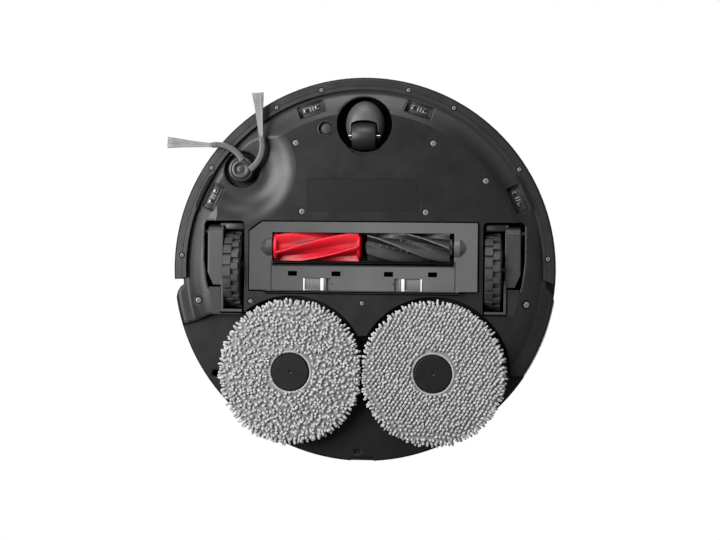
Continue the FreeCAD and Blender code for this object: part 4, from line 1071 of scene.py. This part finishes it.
def cover_trim():
    """Slots filled black as painted shade, small arrows, a sloping rear lip, and a darker heel strip of painted
    shade on the brush cover.
    """
    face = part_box("left_cover_latch")[0].z + 1 * MM
    latch = centre("left_cover_latch")
    low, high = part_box("cover_scraper")

    # painted shade: a black block fills each slot's pocket
    def slots(bm):
        for x in (-63, -23.6, 23.6, 63):
            block(bm, ((x - 4.6) * MM, 2.45 * MM, face - 0.03 * MM), ((x + 3.7) * MM, 6.75 * MM, face + 2.3 * MM),
                  0.2 * MM)

    def arrows(bm):
        for sign in (-1, 1):
            x, y = sign * 27.3 * MM, latch.y - 0.6 * MM
            point, back = x - sign * 0.8 * MM, x + sign * 0.6 * MM
            prism(bm, [(point, y), (back, y - 0.8 * MM), (back, y + 0.8 * MM)], face - 0.08 * MM, face + 0.1 * MM)

    def seams(bm):
        for sign in (-1, 1):
            x = sign * (high.x + 0.9 * MM)
            block(bm, (x - 0.3 * MM, low.y - 0.5 * MM, face - 0.04 * MM),
                  (x + 0.3 * MM, latch.y + 5.9 * MM, face + 0.2 * MM), 0)
        block(bm, (low.x - 0.5 * MM, latch.y + 5.4 * MM, face - 0.04 * MM),
              (high.x + 0.5 * MM, latch.y + 5.8 * MM, face + 0.2 * MM), 0)

    def lip(bm):
        block(bm, (low.x, low.y, low.z), (high.x, low.y + 1.5 * MM, high.z), 0.3 * MM)
        block(bm, (low.x, low.y + 1.7 * MM, low.z + 0.5 * MM), (high.x, high.y - 0.9 * MM, high.z), 0.3 * MM)

    def edge(bm):
        block(bm, (low.x, high.y - 0.8 * MM, low.z + 0.1 * MM), (high.x, high.y - 0.1 * MM, high.z), 0.2 * MM)

    # painted shade: a thin darker strip along the cover's back stands for the shading of a bevel
    def heel(bm):
        block(bm, (-90 * MM, latch.y + 5.9 * MM, face - 0.05 * MM),
              (90 * MM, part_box("brush_cover")[1].y, face + 1 * MM), 0.3 * MM)

    new_piece("cover_heel", heel, "cover_dark", "cover")
    new_piece("scraper_lip", lip, "scraper_black", "cover", replaces=("cover_scraper",))
    new_piece("scraper_edge", edge, "cover_grey", "cover")
    new_piece("cover_seams", seams, "pit_black", "cover")
    new_piece("cover_slots", slots, "pit_black", "cover")
    new_piece("cover_arrows", arrows, "black_plastic", "cover")


def bumper_slots():
    """Flat black prisms of painted shade for the dark gaps inside the bumper's skirt beside the outer cliff sensors.
    """
    inner, low, high = 161.4 * MM, 14.1 * MM, 14.6 * MM

    # painted shade: thin black prisms stand for the gaps
    def build(bm):
        for begin, end in ((-71.5, -57.5), (57.5, 71.5)):
            steps = 18
            outline = []
            for r0, order in ((inner - 0.9 * MM, range(steps + 1)), (inner + 2.2 * MM, range(steps, -1, -1))):
                for i in order:
                    angle = math.radians(begin + (end - begin) * i / steps)
                    ease = min(i, steps - i) / 2.5
                    r = r0 if r0 < inner else inner - 0.5 * MM + 2.4 * MM * min(1.0, ease)
                    outline.append((r * math.sin(angle), -r * math.cos(angle)))
            prism(bm, outline, low, high)

    new_piece("bumper_slots", build, "pit_black", "bumper")


def wheel_trims():
    """Dark bridges in front of the tyres, and dark steps behind the arms, whose near black is painted shade."""
    for side, sign in (("left", 1), ("right", -1)):
        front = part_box(f"{side}_wheel_arm")[0].y
        tyre_low, tyre_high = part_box(f"{side}_tyre")

        def bridge(bm):
            block(bm, (tyre_low.x - 0.2 * MM, front + 0.1 * MM, 15.4 * MM),
                  (tyre_high.x + 1.2 * MM, front + 5.8 * MM, 22 * MM), 0.8 * MM)

        # painted shade: a thin near-black sheet on the deck stands for the shaded recess behind each arm
        def step(bm):
            prism(bm, [(sign * x * MM, y * MM) for x, y in ((140, 17.4), (129, 17.4), (129, 41), (136.2, 41))],
                  DECK - 0.08 * MM, DECK + 0.3 * MM)

        new_piece(f"{side}_arm_bridge", bridge, "bridge_dark", f"{side}_arm")
        new_piece(f"{side}_arm_step", step, "step_dark", "body")


# ---------------- screws


def islands(node):
    """The low and high corners of each separate solid in a CAD node."""
    bm = bmesh.new()
    bm.from_mesh(NODES[node].data)
    bmesh.ops.remove_doubles(bm, verts=bm.verts, dist=1e-6)
    world, seen, found = NODES[node].matrix_world, set(), []
    for start in bm.verts:
        if start in seen:
            continue
        group, stack = [], [start]
        seen.add(start)
        while stack:
            vert = stack.pop()
            group.append(world @ vert.co)
            for edge in vert.link_edges:
                other = edge.other_vert(vert)
                if other not in seen:
                    seen.add(other)
                    stack.append(other)
        found.append([Vector(pick(v[i] for v in group) for i in range(3)) for pick in (min, max)])
    bm.free()
    return found


def screw_set(node, body):
    """Pan heads with a cross recess, each in a black ring of painted shade."""
    rng = random.Random(41)
    places = [((low + high) / 2, (high.x - low.x) / 2, low.z) for low, high in islands(node)]

    def heads(bm):
        for middle, reach, low in places:
            turn = rng.uniform(0, 1.57)

            def head(one):
                turned(one, [(0.0001, low + 3 * MM), (reach, low + 3 * MM), (reach, low + 0.4 * MM),
                             (reach * 0.9, low + 0.1 * MM), (reach * 0.7, low - 0.1 * MM), (0.0001, low - 0.2 * MM)],
                       middle.xy.to_3d(), turns=32)

            def cross(one):
                for more in (0, math.pi / 2):
                    block(one, (-reach * 0.55, -0.28 * MM, low - 1 * MM), (reach * 0.55, 0.28 * MM, low + 0.8 * MM),
                          0, turn + more, middle.xy)

            carved(head, cross)(bm)

    # painted shade: a thin black trough round each head stands for the shaded gap of its hole
    def shaded_sinks(bm):
        for middle, reach, low in places:
            loops = []
            for out, up in ((0.05, 1), (0.05, -0.05), (0.7, -0.2), (0.8, 1)):
                r, turns = reach + out * MM, [2 * math.pi * k / 32 for k in range(32)]
                loops.append([bm.verts.new((middle.x + r * math.cos(a), middle.y + r * math.sin(a), low + up * MM))
                              for a in turns])
            skin(bm, loops, closed=True)

    new_piece(f"{node}_heads", heads, "screw_steel", body, replaces=(node,))
    new_piece(f"{node}_rings", shaded_sinks, "pit_black", body)


# ---------------- build

make_materials()
dress_cad()
camera_and_light()
floor()
mop("left", 11, math.radians(-58), True)
mop("right", 12, math.radians(-68), False)
roller("red", -0.0505, -14, -23, 0.80, 4.6 * MM, 0.22 * MM, 1.5 * MM, 24 * MM, 31)
roller("grey", 0.037, 8, 30, 0.22, 0.8 * MM, 0.95 * MM, 6 * MM, 46 * MM, 32)
caster()
corner_brush()
tyre("left")
tyre("right")
cliff_sensors()
carpet_eye()
latches()
cover_trim()
cover_trim()  # a known mistake, kept as it was: six .001 copies lie on their originals
bumper_slots()
wheel_trims()
screw_set("chassis_screws", "body")
screw_set("bumper_screws", "bumper")
